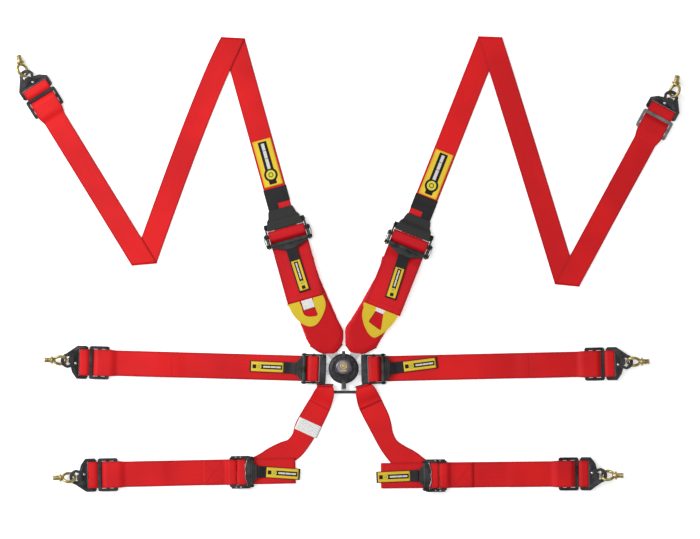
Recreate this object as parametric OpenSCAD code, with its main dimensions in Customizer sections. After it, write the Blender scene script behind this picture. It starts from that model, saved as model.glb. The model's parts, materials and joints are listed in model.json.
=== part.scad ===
/* [Webbing] */
// Width of the lap and leg webbing
web_w = 50; // [48:0.5:51]
// Width of the upper shoulder webbing
upper_web_w = 45; // [43:0.5:50]
// Width of the lower shoulder webbing
wide_web_w = 74; // [70:0.5:75]
// Thickness of the webbing
web_t = 1.4; // [1.2:0.1:1.5]

/* [Buckle] */
// Outer radius of the buckle housing
buckle_r = 29.5; // [29:0.5:31]
// Height of the housing's top face above the floor
buckle_h = 16; // [16:0.5:18]
// Angle of the shoulder tongues away from the lap tongues
splay = 52; // [50:1:54]
// Thickness of the tongue plates
tongue_t = 3; // [2.6:0.1:3]

/* [Shoulder arms] */
// Height of the padded sleeves
sleeve_h = 9; // [8.5:0.1:9]
// Length of the release tabs on the shoulder adjusters
shoulder_tab = 115; // [100:1:116]

/* [Lap arms] */
// Distance from the buckle to the left lap slide
left_lap_reach = 459; // [430:1:470]
// Distance from the buckle to the right lap slide
right_lap_reach = 472; // [430:1:480]

/* [Leg arms] */
// Distance from a leg adjuster to its slide
leg_reach = 243; // [220:1:250]

/* [Anchors] */
// Pitch of a hook, carried up by the eye bolt's ring
hook_pitch = 10; // [9.8:0.1:11]
// Radius of the eye bolt's threaded shank
shank_r = 5.55; // [5:0.05:6]
// Radius of the hole in the eye bolt's ring
ring_hole_r = 9; // [8.9:0.1:9.5]
// Radius of the ring's wire
ring_wire_r = 3; // [2.8:0.1:3]

/* [Hidden] */
$fn = 64;
gap = 0.3;                                // clearance between soft layers and moving pieces
bore_gap = 0.05;                          // running clearance of a pin in its bore
step = 0.05;                              // keeps two joined stretches of webbing from sharing a face
through = 1;                              // how far a cutter runs past the face that it cuts
floor_z = web_t / 2;                      // centre line of a strap that lies on the floor
layer_z = floor_z + web_t + gap;          // centre line of a strap that lies on another

base_t = 2;                               // back plate
blade_z = 3.1;                            // underside of the tongues
blade_top = blade_z + tongue_t;
guide_z = blade_top + gap;                // underside of the pin guide
guide_t = 2;
pin_r = 2.3;
pin_ring_r = 18.5;                        // the pins stand on this circle
spindle_r = 4.5;
wall_t = 3;
lid_t = 2.5;
chamber_r = buckle_r - wall_t;
lap_neck = 10.5;                          // half widths of the tongues' necks
thin_neck = 8;
bar_y = -46;                              // leg bar, below the buckle
bar_r = 2.75;
bar_half = 51;

roller_r = 4;
cam_r = 4.2;
cam_u = 18.5;                             // the cam bar's distance from the roller
adjuster_back = 24;                       // the side plates' reach either way
plate_t = 3;

slide_l = 39;
slide_w = 65;
slide_z = 2 * web_t + 2 * gap;
slide_t = 2.5;
hook_bar_u = 45.5;                        // the hook's bar, from the slide's inner edge
hook_bar_z = 3.75;
hook_bar_r = 1.9;
hook_t = 3;
eye_u = 35;
eye_v = -3;
eye_r = 7.8;
claw_r = 14.5;
ring_u = eye_u + eye_r + ring_hole_r - 1.4;
ring_lean = 50;                           // the ring's slope across the claw
ring_r = ring_hole_r + ring_wire_r;
rivet_u = 20.5;
rivet_v = 2;

// Arms: [x, y, heading] of each frame; its u axis runs outward along the strap
LEFT_LAP = [0, -1.9, 178.4];
RIGHT_LAP = [0, -2.2, 1.3];
LEFT_SPLAY = [0, 0, 180 - splay];
RIGHT_SPLAY = [0, 0, splay];
DOWNWARD = [0, 0, -90];
RELEASED = [RIGHT_LAP, RIGHT_SPLAY, LEFT_SPLAY, DOWNWARD];     // tongues that the pins let go
LEFT_LEG = [-199, -202.3, 181.2];
RIGHT_LEG = [178, -209, 0.6];
LEFT_TOP = [-111, 267, 105.6];
RIGHT_TOP = [130, 251.5, 68.4];
LEFT_CREASES = [[-217, 647], [-391, 205]];
RIGHT_CREASES = [[287, 648.8], [437.8, 164]];
LEFT_MID = crease_frame(LEFT_CREASES);
RIGHT_MID = crease_frame(RIGHT_CREASES);
LEFT_FAR = [LEFT_CREASES[1][0], LEFT_CREASES[1][1], 121.6];
RIGHT_FAR = [RIGHT_CREASES[1][0], RIGHT_CREASES[1][1], 61.5];
left_far_reach = 351;
right_far_reach = 338;
lap_roller = 59;                          // the lap adjuster's roller, from the buckle
LEFT_THIGH = [[-38, -60, 15], [-46, -70, 19], [-62, -99, 25], [-76, -128, 25], [-98, -158, 25],
    [-132, -182, 25], [-172, -198, 25], [-199, -202.3, 25]];
RIGHT_THIGH = [[41, -60, 15], [47, -70, 19], [63, -99, 25], [78, -132, 25], [98, -160, 25],
    [126, -182, 25], [152, -202, 25], [178, -209, 25]];
LEFT_SLEEVE = [[-33.5, 31.5, 20.5], [-34, 48, 31], [-38, 66, 38], [-56, 107, 39], [-77, 158, 39],
    [-97.5, 222, 39]];
RIGHT_SLEEVE = [[29.5, 32, 17], [32, 46, 30], [39, 64, 38], [66, 113, 39], [95, 167, 39],
    [112.5, 208, 39]];

// ---- Functions ----

function heading(a, b) = atan2(b[1] - a[1], b[0] - a[0]);
function crease_frame(c) = [c[0][0], c[0][1], heading(c[0], c[1])];
function unit(v) = v / norm(v);
function left_of(v) = [-v[1], v[0]];
function xy(p) = [p[0], p[1]];
// Normal of a path at point i, long enough to mitre the corner there
function mitre(path, i) =
    let (n = len(path),
        a = unit(left_of(xy(path[min(i + 1, n - 1)]) - xy(path[min(i, n - 2)]))),
        b = unit(left_of(xy(path[max(i, 1)]) - xy(path[max(i - 1, 0)]))),
        m = unit(a + b))
    m / max(0.5, m * a);
// Outline of a band of a given thickness along a path
function ribbon_outline(path, t) = concat(
    [for (i = [0:len(path) - 1]) xy(path[i]) + mitre(path, i) * t / 2],
    [for (i = [len(path) - 1:-1:0]) xy(path[i]) - mitre(path, i) * t / 2]);
// Outline of a strap seen from above, whose points carry their own half width
function band_outline(path, less = 0) = concat(
    [for (i = [0:len(path) - 1]) xy(path[i]) + mitre(path, i) * (path[i][2] - less)],
    [for (i = [len(path) - 1:-1:0]) xy(path[i]) - mitre(path, i) * (path[i][2] - less)]);
function arc(c, r, from, to, steps = 8) =
    [for (i = [0:steps]) c + r * [cos(from + (to - from) * i / steps), sin(from + (to - from) * i / steps)]];
// A strap from over a slide, round a hook's bar and back along the floor to its tail
function anchor_path(s, tail_u) = concat(
    [[s - 14, layer_z], [s - 4, layer_z + 4.5], [s + 24.5, layer_z + 4.5], [s + 30.5, layer_z],
     [s + 39.8, layer_z], [s + 44.6, 6.8]],
    arc([s + 51.5, hook_bar_z], 6.8 - hook_bar_z, 90, -90),
    [[tail_u, floor_z]]);
// A strap that comes in along z, turns round a roller at u = 0 and leaves under the cam bar
function roller_path(z, from_u) = concat(
    [[from_u, z]],
    arc([0, z + 5], 5, 270, 90),
    [[6, z + 10], [13, z + 2.4], [16, z + 1.6]]);
// A strap's sewn loop round an adjuster's back bar, read from its sewn end to the floor run
function sewn_loop(end_u) = [[end_u, layer_z], [-31, layer_z], [-25, 9], [-14, 9], [-10.6, 7.5],
    [-10.6, 2.2], [-13, floor_z]];
function flip(path) = [for (p = path) [-p[0], p[1]]];

// ---- Shared shapes ----

module arm(frame) {
    translate([frame[0], frame[1], 0]) rotate([0, 0, frame[2]]) children();
}

module ribbon(path, width) {
    rotate([90, 0, 0])
        linear_extrude(height = width, center = true) polygon(ribbon_outline(path, web_t));
}

module pin_across(r, length, z) {
    translate([0, 0, z]) rotate([90, 0, 0]) cylinder(r = r, h = length, center = true);
}

module rounded_plate(length, width, corner) {
    hull()
        for (u = [corner, length - corner], v = [-1, 1])
            translate([u, v * (width / 2 - corner)]) circle(r = corner, $fn = 32);
}

// Flat shapes of the tongues, from the nose inside the buckle outward
module tongue_plate(neck, spread, reach) {
    translate([0, 0, blade_z]) linear_extrude(height = tongue_t) difference() {
        polygon([[14, -4], [13, 0], [14, 4], [21, thin_neck], [22, neck], [reach - 12, neck],
            [reach - 7, spread], [reach, spread], [reach, -spread], [reach - 7, -spread],
            [reach - 12, -neck], [22, -neck], [21, -thin_neck]]);
        translate([pin_ring_r, 0]) circle(r = pin_r + 0.4);
    }
}

// ---- Buckle ----

module tongue_slots() {
    for (t = [[LEFT_LAP, lap_neck], [RIGHT_LAP, lap_neck], [RIGHT_SPLAY, thin_neck],
              [LEFT_SPLAY, thin_neck], [DOWNWARD, 5]])
        arm(t[0])
            translate([chamber_r - 2 * wall_t, -t[1] - 0.5, base_t + 0.9])
                cube([buckle_r, 2 * t[1] + 1, guide_z - base_t - 1]);
}

module buckle_base() {
    color("dimgray") {
        cylinder(r = buckle_r - 1, h = base_t);
        translate([0, 0, base_t]) cylinder(r = chamber_r - bore_gap, h = 0.8);
    }
}

module buckle_housing() {
    color([0.09, 0.09, 0.1]) difference() {
        rotate_extrude() polygon([[0, base_t], [buckle_r, base_t], [buckle_r, buckle_h - 5],
            [buckle_r - 2, buckle_h - 1.5], [buckle_r - 5, buckle_h], [0, buckle_h]]);
        translate([0, 0, base_t - through]) cylinder(r = chamber_r, h = guide_z - base_t + through);
        translate([0, 0, guide_z + guide_t])
            cylinder(r = chamber_r, h = buckle_h - lid_t - guide_z - guide_t);
        cylinder(r = spindle_r + bore_gap, h = buckle_h + through);
        for (a = RELEASED) arm(a)
            translate([pin_ring_r, 0, 0]) cylinder(r = pin_r + bore_gap, h = guide_z + guide_t + 0.5);
        tongue_slots();
    }
}

module return_spring() {
    turns = 3;
    coil_r = 7.5;
    wire_r = 0.6;
    color("silver") translate([0, 0, guide_z + guide_t + 1.4])
        for (i = [0:turns - 1])
            translate([0, 0, i * 1.35])
                rotate_extrude() translate([coil_r, 0]) circle(r = wire_r, $fn = 24);
}

module release_lever() {
    top = buckle_h + gap;
    lever_t = 3;
    color([0.07, 0.07, 0.08]) {
        translate([0, 0, guide_z + guide_t + 0.2]) cylinder(r = 14, h = 0.4);
        translate([0, 0, guide_z + guide_t + 0.2]) cylinder(r = spindle_r, h = top - guide_z - guide_t);
        translate([0, 0, top]) linear_extrude(height = lever_t) {
            translate([0, 4]) circle(r = 17);
            polygon([[-4.5, 0], [4.5, 0], [3.2, 30], [2.8, 35], [-2.8, 35], [-3.2, 30]]);
            polygon([[-12, -8], [12, -8], [4.2, -28], [5.2, -39], [-3.2, -39], [-2.4, -28]]);
        }
        translate([0, 4, top + lever_t]) cylinder(r = 14.5, h = 1.6);
    }
}

module lock_pins() {
    carrier_z = guide_z + guide_t + 0.9;
    color("silver") {
        translate([0, 0, carrier_z]) difference() {
            cylinder(r = 22.5, h = 1.5);
            translate([0, 0, -through]) cylinder(r = 12, h = 1.5 + 2 * through);
        }
        for (a = RELEASED) arm(a)
            translate([pin_ring_r, 0, guide_z]) cylinder(r = pin_r, h = carrier_z - guide_z + 0.5);
    }
}

// ---- Adjusters and their release tabs ----

// Frame, roller and back bar; u runs towards the strap that is adjusted, z is that strap's height
module adjuster(width, z, tongue = false) {
    inner = width / 2 + 0.8;
    color([0.1, 0.1, 0.11]) {
        difference() {
            for (side = [-1, 1]) translate([0, side * (inner + plate_t / 2), z + 1])
                rotate([90, 0, 0]) linear_extrude(height = plate_t, center = true)
                    polygon([[-adjuster_back, 0], [adjuster_back - 2, 0], [adjuster_back, 3],
                        [adjuster_back, 8.5], [adjuster_back - 4, 10.5], [-8, 10.5], [-adjuster_back, 7.5]]);
            translate([cam_u, 0, 0]) pin_across(2 + bore_gap, 2 * inner + 3 * plate_t, z + 6.8);
        }
        pin_across(roller_r, 2 * inner + 0.5, z + 5);
        if (tongue) difference() {
            translate([-adjuster_back, -inner - 0.2, z + 1]) cube([11.5, 2 * inner + 0.4, 7.8]);
            translate([-adjuster_back - through, -inner, blade_z - gap])
                cube([11.5 + 2 * through, 2 * inner, tongue_t + 2 * gap]);
        }
        else translate([-adjuster_back + 1, -inner - 0.2, 1.9]) cube([10.5, 2 * inner + 0.4, 5.9]);
    }
}

// Cam bar on its pins, with the pressed cover, and the black tab with its label sewn on
module release_tab(width, z, tab_z, tab_end, turn = 0) {
    cam_z = z + 6.8;
    inner = width / 2 + 0.8;
    tab_w = 25;
    color([0.13, 0.13, 0.14]) translate([cam_u, 0, 0]) {
        pin_across(cam_r, 2 * inner - 2 * gap, cam_z);
        pin_across(2, 2 * inner + 2 * plate_t, cam_z);
        translate([0, 0, cam_z - 1.4]) linear_extrude(height = 3.2)
            polygon([[0, -inner + 2], [5, -inner + 2], [14, -tab_w / 2 - 1.5], [14, tab_w / 2 + 1.5],
                [5, inner - 2], [0, inner - 2]]);
    }
    color("gold") translate([cam_u + 12, 0, 0]) rotate([0, 0, turn])
        ribbon([[0, cam_z], [4, cam_z + (tab_z > cam_z ? 1.4 : -0.6)],
            [13, tab_z], [tab_end - cam_u - 12, tab_z]], tab_w);
}

// ---- Anchor ends ----

module slide(s) {
    color([0.08, 0.08, 0.09]) translate([s, 0, slide_z]) linear_extrude(height = slide_t) difference() {
        rounded_plate(slide_l, slide_w, 4);
        translate([8, -27]) square([8, 54]);
        translate([23, -27]) square([9, 54]);
    }
}

module at_hook(s) {
    translate([s + hook_bar_u, 0, hook_bar_z]) rotate([0, -hook_pitch, 0]) children();
}

// Pressed plate with the strap slot, claw and rivet; mouth is 1 or -1, the side that it opens to
module hook(s, mouth) {
    slot_end = 14;
    arm_v = 26;
    color([0.07, 0.07, 0.08]) at_hook(s) {
        pin_across(hook_bar_r, 2 * arm_v + 2, 0);
        translate([0, 0, -hook_t / 2]) mirror([0, mouth > 0 ? 0 : 1, 0])
            linear_extrude(height = hook_t) difference() {
                union() {
                    polygon([[-3.5, -29], [-0.5, -32.5], [17, -32.5], [36, -19], [42, -14], [30, 8],
                        [27, 20], [18, 32.5], [-0.5, 32.5], [-3.5, 29]]);
                    translate([eye_u, eye_v]) circle(r = claw_r);
                }
                translate([eye_u, eye_v]) circle(r = eye_r);
                translate([eye_u - 5.5, eye_v]) square([8, 2 * claw_r]);
                translate([-5, -arm_v]) square([slot_end + 5, 2 * arm_v]);
            }
        translate([rivet_u, mouth * rivet_v, 0]) cylinder(r = 2, h = hook_t / 2 + 1.6);
        translate([rivet_u, mouth * rivet_v, hook_t / 2 + 1.6]) cylinder(r = 3, h = 1);
    }
}

module gate(s, mouth) {
    color([0.12, 0.12, 0.13]) at_hook(s) mirror([0, mouth > 0 ? 0 : 1, 0])
        translate([0, 0, hook_t / 2 + 0.1]) linear_extrude(height = 1.3) difference() {
            union() {
                translate([rivet_u, rivet_v]) circle(r = 4.5);
                translate([rivet_u, rivet_v]) rotate([0, 0, 24]) polygon([[0, -3], [19, -2.6], [20.5, 0],
                    [19, 2.6], [0, 4.4]]);
            }
            translate([rivet_u, rivet_v]) circle(r = 2 + bore_gap);
        }
}

// Forged ring, collar and threaded shank; the ring leans over the claw, away from the mouth
module eye_bolt(s, mouth, turn = 0) {
    color("khaki") at_hook(s) translate([ring_u, mouth * eye_v, 0]) rotate([-mouth * ring_lean, 0, 0])
        rotate([0, 0, mouth * turn]) {
            rotate_extrude() translate([ring_r, 0]) circle(r = ring_wire_r, $fn = 32);
            translate([ring_r, 0, 0]) rotate([0, 90, 0]) cylinder(r = 5, h = 4);
            translate([ring_r + 2.5, 0, 0]) rotate([0, 90, 0]) cylinder(r = 8, h = 3.5);
            translate([ring_r + 4, 0, 0]) rotate([0, 90, 0]) cylinder(r = shank_r, h = 15);
        }
}

// ---- Lap arms ----

module lap_strap(frame, s, tail_u) {
    color("crimson") arm(frame) {
        translate([lap_roller, 0, 0]) ribbon(roller_path(floor_z, 60), web_w);
        ribbon(concat([[lap_roller + 60, floor_z], [tail_u - 18, floor_z], [tail_u - 5, layer_z]],
            anchor_path(s, tail_u)), web_w);
    }
}

module lap_tongue(frame) {
    color("silver") arm(frame) tongue_plate(lap_neck, web_w / 2, 46);
}

module lap_adjuster(frame) {
    arm(frame) translate([lap_roller, 0, 0]) adjuster(web_w, floor_z, true);
}

module lap_tab(frame, turn) {
    arm(frame) translate([lap_roller, 0, 0]) release_tab(web_w, floor_z, 2.8, 125, turn);
}

module left_lap_tongue() { lap_tongue(LEFT_LAP); }
module left_lap_adjuster() { lap_adjuster(LEFT_LAP); }
module left_lap_strap() { lap_strap(LEFT_LAP, left_lap_reach, 325); }
module left_lap_slide() { arm(LEFT_LAP) slide(left_lap_reach); }
module left_lap_tab() { lap_tab(LEFT_LAP, -1); }
module left_lap_hook() { arm(LEFT_LAP) hook(left_lap_reach, 1); }
module left_lap_gate() { arm(LEFT_LAP) gate(left_lap_reach, 1); }
module left_lap_eye_bolt() { arm(LEFT_LAP) eye_bolt(left_lap_reach, 1); }

module right_lap_tongue() { lap_tongue(RIGHT_LAP); }
module right_lap_adjuster() { lap_adjuster(RIGHT_LAP); }
module right_lap_strap() { lap_strap(RIGHT_LAP, right_lap_reach, 350); }
module right_lap_slide() { arm(RIGHT_LAP) slide(right_lap_reach); }
module right_lap_tab() { lap_tab(RIGHT_LAP, 6); }
module right_lap_hook() { arm(RIGHT_LAP) hook(right_lap_reach, -1); }
module right_lap_gate() { arm(RIGHT_LAP) gate(right_lap_reach, -1); }
module right_lap_eye_bolt() { arm(RIGHT_LAP) eye_bolt(right_lap_reach, -1); }

// ---- Leg arms ----

module crotch_tongue() {
    color("silver") translate([0, 0, blade_z]) linear_extrude(height = tongue_t) difference() {
        polygon([[-4, -14], [0, -13], [4, -14], [5, -21], [5, bar_y], [-5, bar_y], [-5, -21]]);
        translate([0, -pin_ring_r]) circle(r = pin_r + 0.4);
    }
    color([0.08, 0.08, 0.09]) translate([1, bar_y, blade_z + tongue_t / 2]) rotate([0, 90, 0])
        cylinder(r = bar_r, h = 2 * bar_half, center = true);
}

// Thigh webbing looped over the leg bar, its run through the adjuster and the anchor webbing
module leg_strap(thigh, frame, tail_end) {
    loop_x = thigh[0][0];
    loop_w = 2 * thigh[0][2];
    color("crimson") {
        translate([loop_x, 0, 0]) rotate([0, 0, -90]) ribbon(concat([[68, layer_z], [60, layer_z],
            [54, 8.9]], arc([39.5, 4.8], 4.1, 90, 270), [[66, floor_z]]), loop_w);
        translate([0, 0, step]) linear_extrude(height = web_t) polygon(band_outline(thigh));
        arm(frame) {
            rotate([0, 0, 180]) ribbon(concat(roller_path(floor_z, 20), [[tail_end, layer_z]]), web_w);
            ribbon(concat(flip(sewn_loop(-74)), [[95, floor_z], [125, layer_z]],
                anchor_path(leg_reach, 150)), web_w);
        }
    }
}

module leg_adjuster(frame) {
    arm(frame) rotate([0, 0, 180]) adjuster(web_w, floor_z);
}

module leg_tab(frame, turn) {
    arm(frame) rotate([0, 0, 180]) release_tab(web_w, floor_z, 4.1, 112, turn);
}

module left_leg_strap() { leg_strap(LEFT_THIGH, LEFT_LEG, 105); }
module left_leg_adjuster() { leg_adjuster(LEFT_LEG); }
module left_leg_slide() { arm(LEFT_LEG) slide(leg_reach); }
module left_leg_tab() { leg_tab(LEFT_LEG, -5); }
module left_leg_hook() { arm(LEFT_LEG) hook(leg_reach, -1); }
module left_leg_gate() { arm(LEFT_LEG) gate(leg_reach, -1); }
module left_leg_eye_bolt() { arm(LEFT_LEG) eye_bolt(leg_reach, -1); }

module right_leg_strap() { leg_strap(RIGHT_THIGH, RIGHT_LEG, 105); }
module right_leg_adjuster() { leg_adjuster(RIGHT_LEG); }
module right_leg_slide() { arm(RIGHT_LEG) slide(leg_reach); }
module right_leg_tab() { leg_tab(RIGHT_LEG, 2); }
module right_leg_hook() { arm(RIGHT_LEG) hook(leg_reach, 1); }
module right_leg_gate() { arm(RIGHT_LEG) gate(leg_reach, 1); }
module right_leg_eye_bolt() { arm(RIGHT_LEG) eye_bolt(leg_reach, 1); }

// ---- Shoulder arms ----

wide_z = 2.2;                             // centre line of the lower webbing inside its sleeve
tail_z = sleeve_h + gap + web_t / 2;      // centre line of its tail on top of the sleeve

module shoulder_tongue(frame) {
    color("silver") arm(frame) tongue_plate(thin_neck, 14, 56);
}

module sleeve(path) {
    wall = 1.2;
    inside = concat([path[0] - [0, 12, 0]], path, [path[len(path) - 1] * 2 - path[len(path) - 2]]);
    color("firebrick") difference() {
        linear_extrude(height = sleeve_h) polygon(band_outline(path));
        translate([0, 0, wall]) linear_extrude(height = sleeve_h - 2 * wall)
            polygon(band_outline([for (p = inside) [p[0], p[1], max(p[2], 13)]], wall));
    }
}

// Lower webbing: up through the sleeve, round the roller, and down over the sleeve to the pull loop
module lower_strap(frame, path, tail_u) {
    run = concat([for (i = [2:len(path) - 1]) [path[i][0], path[i][1], wide_web_w / 2 - 0.2]],
        [[frame[0], frame[1], wide_web_w / 2 - 0.2]]);
    loop_l = 46;
    color("crimson") {
        translate([0, 0, wide_z - web_t / 2 + step]) linear_extrude(height = web_t)
            polygon(band_outline(run));
        arm(frame) rotate([0, 0, 180]) ribbon(concat(roller_path(wide_z, 3),
            [[30, wide_z + 1.6], [44, tail_z], [tail_u, tail_z]]), wide_web_w - 2);
    }
    color("gold") arm(frame) rotate([0, 0, 180]) translate([tail_u, 0, tail_z - web_t / 2])
        linear_extrude(height = web_t) difference() {
            polygon([[-1, -34], [6, -36], [20, -29], [loop_l - 6, -14], [loop_l, 0],
                [loop_l - 6, 14], [20, 29], [6, 36], [-1, 34]]);
            polygon([[6, -12], [22, -14], [26, 0], [22, 14], [6, 12]]);
        }
}

// Cuts a strap's end along a crease through the point p; the strap is kept on its own side
module crease_cut(p, angle, side) {
    translate([p[0], p[1], 0]) rotate([0, 0, angle]) translate([-150, side > 0 ? 0 : -300, -10])
        cube([300, 300, 60]);
}

// Upper webbing to the top crease, with the sewn transition cover behind the adjuster
module strap_near(frame, creases, crease_angle) {
    length = norm(creases[0] - xy(frame)) + 30;
    color("crimson") difference() {
        arm(frame) ribbon(concat(flip(sewn_loop(-60)), [[length, floor_z]]), upper_web_w);
        crease_cut(creases[0], crease_angle, 1);
    }
    color([0.12, 0.12, 0.13]) arm(frame) translate([0, 0, layer_z + web_t]) linear_extrude(height = 1.6)
        polygon([[62, -25], [99, -25], [99, 25], [62, 25]]);
    color([0.12, 0.12, 0.13]) arm(frame) translate([0, 0, 9 + web_t]) linear_extrude(height = 1.6)
        polygon([[14, -36], [30, -36], [60, -25], [64, -25], [64, 25], [60, 25], [30, 36], [14, 36]]);
}

module strap_middle(frame, creases, angles) {
    length = norm(creases[1] - creases[0]) + 30;
    color("crimson") difference() {
        arm(frame) ribbon([[-30, layer_z], [75, layer_z], [150, floor_z], [length, floor_z]],
            upper_web_w);
        crease_cut(creases[0], angles[0], 1);
        crease_cut(creases[1], angles[1], -1);
    }
}

module strap_far(frame, crease_angle, s) {
    color("crimson") difference() {
        arm(frame) ribbon(concat([[-30, layer_z], [75, layer_z], [150, floor_z], [s - 110, floor_z],
            [s - 85, layer_z]], anchor_path(s, s - 80)), upper_web_w);
        crease_cut(xy(frame), crease_angle, -1);
    }
}

left_creases_a = [(LEFT_TOP[2] + LEFT_MID[2]) / 2, (LEFT_MID[2] + LEFT_FAR[2]) / 2];
right_creases_a = [(RIGHT_TOP[2] + RIGHT_MID[2]) / 2, (RIGHT_MID[2] + RIGHT_FAR[2]) / 2];

module left_shoulder_tongue() { shoulder_tongue(LEFT_SPLAY); }
module left_shoulder_sleeve() { sleeve(LEFT_SLEEVE); }
module left_shoulder_lower_strap() { lower_strap(LEFT_TOP, LEFT_SLEEVE, 137); }
module left_shoulder_adjuster() { arm(LEFT_TOP) rotate([0, 0, 180]) adjuster(wide_web_w, wide_z); }
module left_shoulder_tab() {
    arm(LEFT_TOP) rotate([0, 0, 180]) release_tab(wide_web_w, wide_z, tail_z + 1.9, shoulder_tab, 2);
}
module left_shoulder_strap_near() { strap_near(LEFT_TOP, LEFT_CREASES, left_creases_a[0]); }
module left_shoulder_strap_middle() { strap_middle(LEFT_MID, LEFT_CREASES, left_creases_a); }
module left_shoulder_strap_far() { strap_far(LEFT_FAR, left_creases_a[1], left_far_reach); }
module left_shoulder_slide() { arm(LEFT_FAR) slide(left_far_reach); }
module left_shoulder_hook() { arm(LEFT_FAR) hook(left_far_reach, -1); }
module left_shoulder_gate() { arm(LEFT_FAR) gate(left_far_reach, -1); }
module left_shoulder_eye_bolt() { arm(LEFT_FAR) eye_bolt(left_far_reach, -1, 24); }

module right_shoulder_tongue() { shoulder_tongue(RIGHT_SPLAY); }
module right_shoulder_sleeve() { sleeve(RIGHT_SLEEVE); }
module right_shoulder_lower_strap() { lower_strap(RIGHT_TOP, RIGHT_SLEEVE, 137); }
module right_shoulder_adjuster() { arm(RIGHT_TOP) rotate([0, 0, 180]) adjuster(wide_web_w, wide_z); }
module right_shoulder_tab() {
    arm(RIGHT_TOP) rotate([0, 0, 180]) release_tab(wide_web_w, wide_z, tail_z + 1.9, shoulder_tab, 4);
}
module right_shoulder_strap_near() { strap_near(RIGHT_TOP, RIGHT_CREASES, right_creases_a[0]); }
module right_shoulder_strap_middle() { strap_middle(RIGHT_MID, RIGHT_CREASES, right_creases_a); }
module right_shoulder_strap_far() { strap_far(RIGHT_FAR, right_creases_a[1], right_far_reach); }
module right_shoulder_slide() { arm(RIGHT_FAR) slide(right_far_reach); }
module right_shoulder_hook() { arm(RIGHT_FAR) hook(right_far_reach, 1); }
module right_shoulder_gate() { arm(RIGHT_FAR) gate(right_far_reach, 1); }
module right_shoulder_eye_bolt() { arm(RIGHT_FAR) eye_bolt(right_far_reach, 1, 26); }

// ---- The nodes ----

buckle_base();
buckle_housing();
return_spring();
release_lever();
lock_pins();
left_lap_tongue();
left_lap_adjuster();
left_lap_strap();
left_lap_slide();
left_lap_tab();
left_lap_hook();
left_lap_gate();
left_lap_eye_bolt();
right_lap_tongue();
right_lap_adjuster();
right_lap_strap();
right_lap_slide();
right_lap_tab();
right_lap_hook();
right_lap_gate();
right_lap_eye_bolt();
crotch_tongue();
left_leg_strap();
left_leg_adjuster();
left_leg_slide();
left_leg_tab();
left_leg_hook();
left_leg_gate();
left_leg_eye_bolt();
right_leg_strap();
right_leg_adjuster();
right_leg_slide();
right_leg_tab();
right_leg_hook();
right_leg_gate();
right_leg_eye_bolt();
left_shoulder_tongue();
left_shoulder_sleeve();
left_shoulder_lower_strap();
left_shoulder_adjuster();
left_shoulder_tab();
left_shoulder_strap_near();
left_shoulder_strap_middle();
left_shoulder_strap_far();
left_shoulder_slide();
left_shoulder_hook();
left_shoulder_gate();
left_shoulder_eye_bolt();
right_shoulder_tongue();
right_shoulder_sleeve();
right_shoulder_lower_strap();
right_shoulder_adjuster();
right_shoulder_tab();
right_shoulder_strap_near();
right_shoulder_strap_middle();
right_shoulder_strap_far();
right_shoulder_slide();
right_shoulder_hook();
right_shoulder_gate();
right_shoulder_eye_bolt();
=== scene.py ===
# Six-point racing harness laid out flat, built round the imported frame. All lengths are in millimetres
# until a mesh is made; the row frame and every Blender object are in metres.
import json
import math

import bmesh
import bpy
import numpy as np
from mathutils import Matrix, Vector, noise


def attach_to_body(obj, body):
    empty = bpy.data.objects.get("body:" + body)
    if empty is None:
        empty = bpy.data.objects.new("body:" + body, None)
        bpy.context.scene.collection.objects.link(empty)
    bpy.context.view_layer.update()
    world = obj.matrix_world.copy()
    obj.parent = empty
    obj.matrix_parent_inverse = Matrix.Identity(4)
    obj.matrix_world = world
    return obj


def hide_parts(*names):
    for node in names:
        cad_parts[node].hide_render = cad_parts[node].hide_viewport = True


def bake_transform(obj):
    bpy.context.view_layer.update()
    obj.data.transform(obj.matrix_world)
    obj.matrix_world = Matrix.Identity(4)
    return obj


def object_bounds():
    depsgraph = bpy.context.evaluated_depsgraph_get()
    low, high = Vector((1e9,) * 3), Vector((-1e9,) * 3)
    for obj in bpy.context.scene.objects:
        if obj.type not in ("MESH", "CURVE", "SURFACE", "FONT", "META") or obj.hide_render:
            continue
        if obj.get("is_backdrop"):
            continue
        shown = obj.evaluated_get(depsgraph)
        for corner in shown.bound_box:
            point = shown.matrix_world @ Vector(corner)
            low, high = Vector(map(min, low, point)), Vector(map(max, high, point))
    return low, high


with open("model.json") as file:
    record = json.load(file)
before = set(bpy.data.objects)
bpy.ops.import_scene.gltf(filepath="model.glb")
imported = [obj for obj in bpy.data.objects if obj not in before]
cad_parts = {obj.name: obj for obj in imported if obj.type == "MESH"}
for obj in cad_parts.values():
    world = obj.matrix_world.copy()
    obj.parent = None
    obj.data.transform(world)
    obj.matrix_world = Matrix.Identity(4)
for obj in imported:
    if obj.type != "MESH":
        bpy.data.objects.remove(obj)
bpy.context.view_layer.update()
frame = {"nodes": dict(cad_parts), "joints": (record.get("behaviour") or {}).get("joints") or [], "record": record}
NODES = frame["nodes"]
JOINTS = {j["name"]: j for j in frame["joints"]}
MM = 0.001

WEB_T = 1.4        # webbing thickness
FLOOR_Z = 0.7      # centre line of webbing on the floor
LAYER_Z = 2.4      # centre line of webbing on other webbing
TAIL_Z = 10.0      # centre line of the tail on a sleeve
WEB_W = 50         # 2 inch webbing
LOWER_W = 73       # 3 inch webbing under the shoulder adjusters
UP = Vector((0, 0, 1))
ARMS = ["left_lap", "right_lap", "left_leg", "right_leg", "left_shoulder", "right_shoulder"]


# ---- Frames of the arms ----

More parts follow.
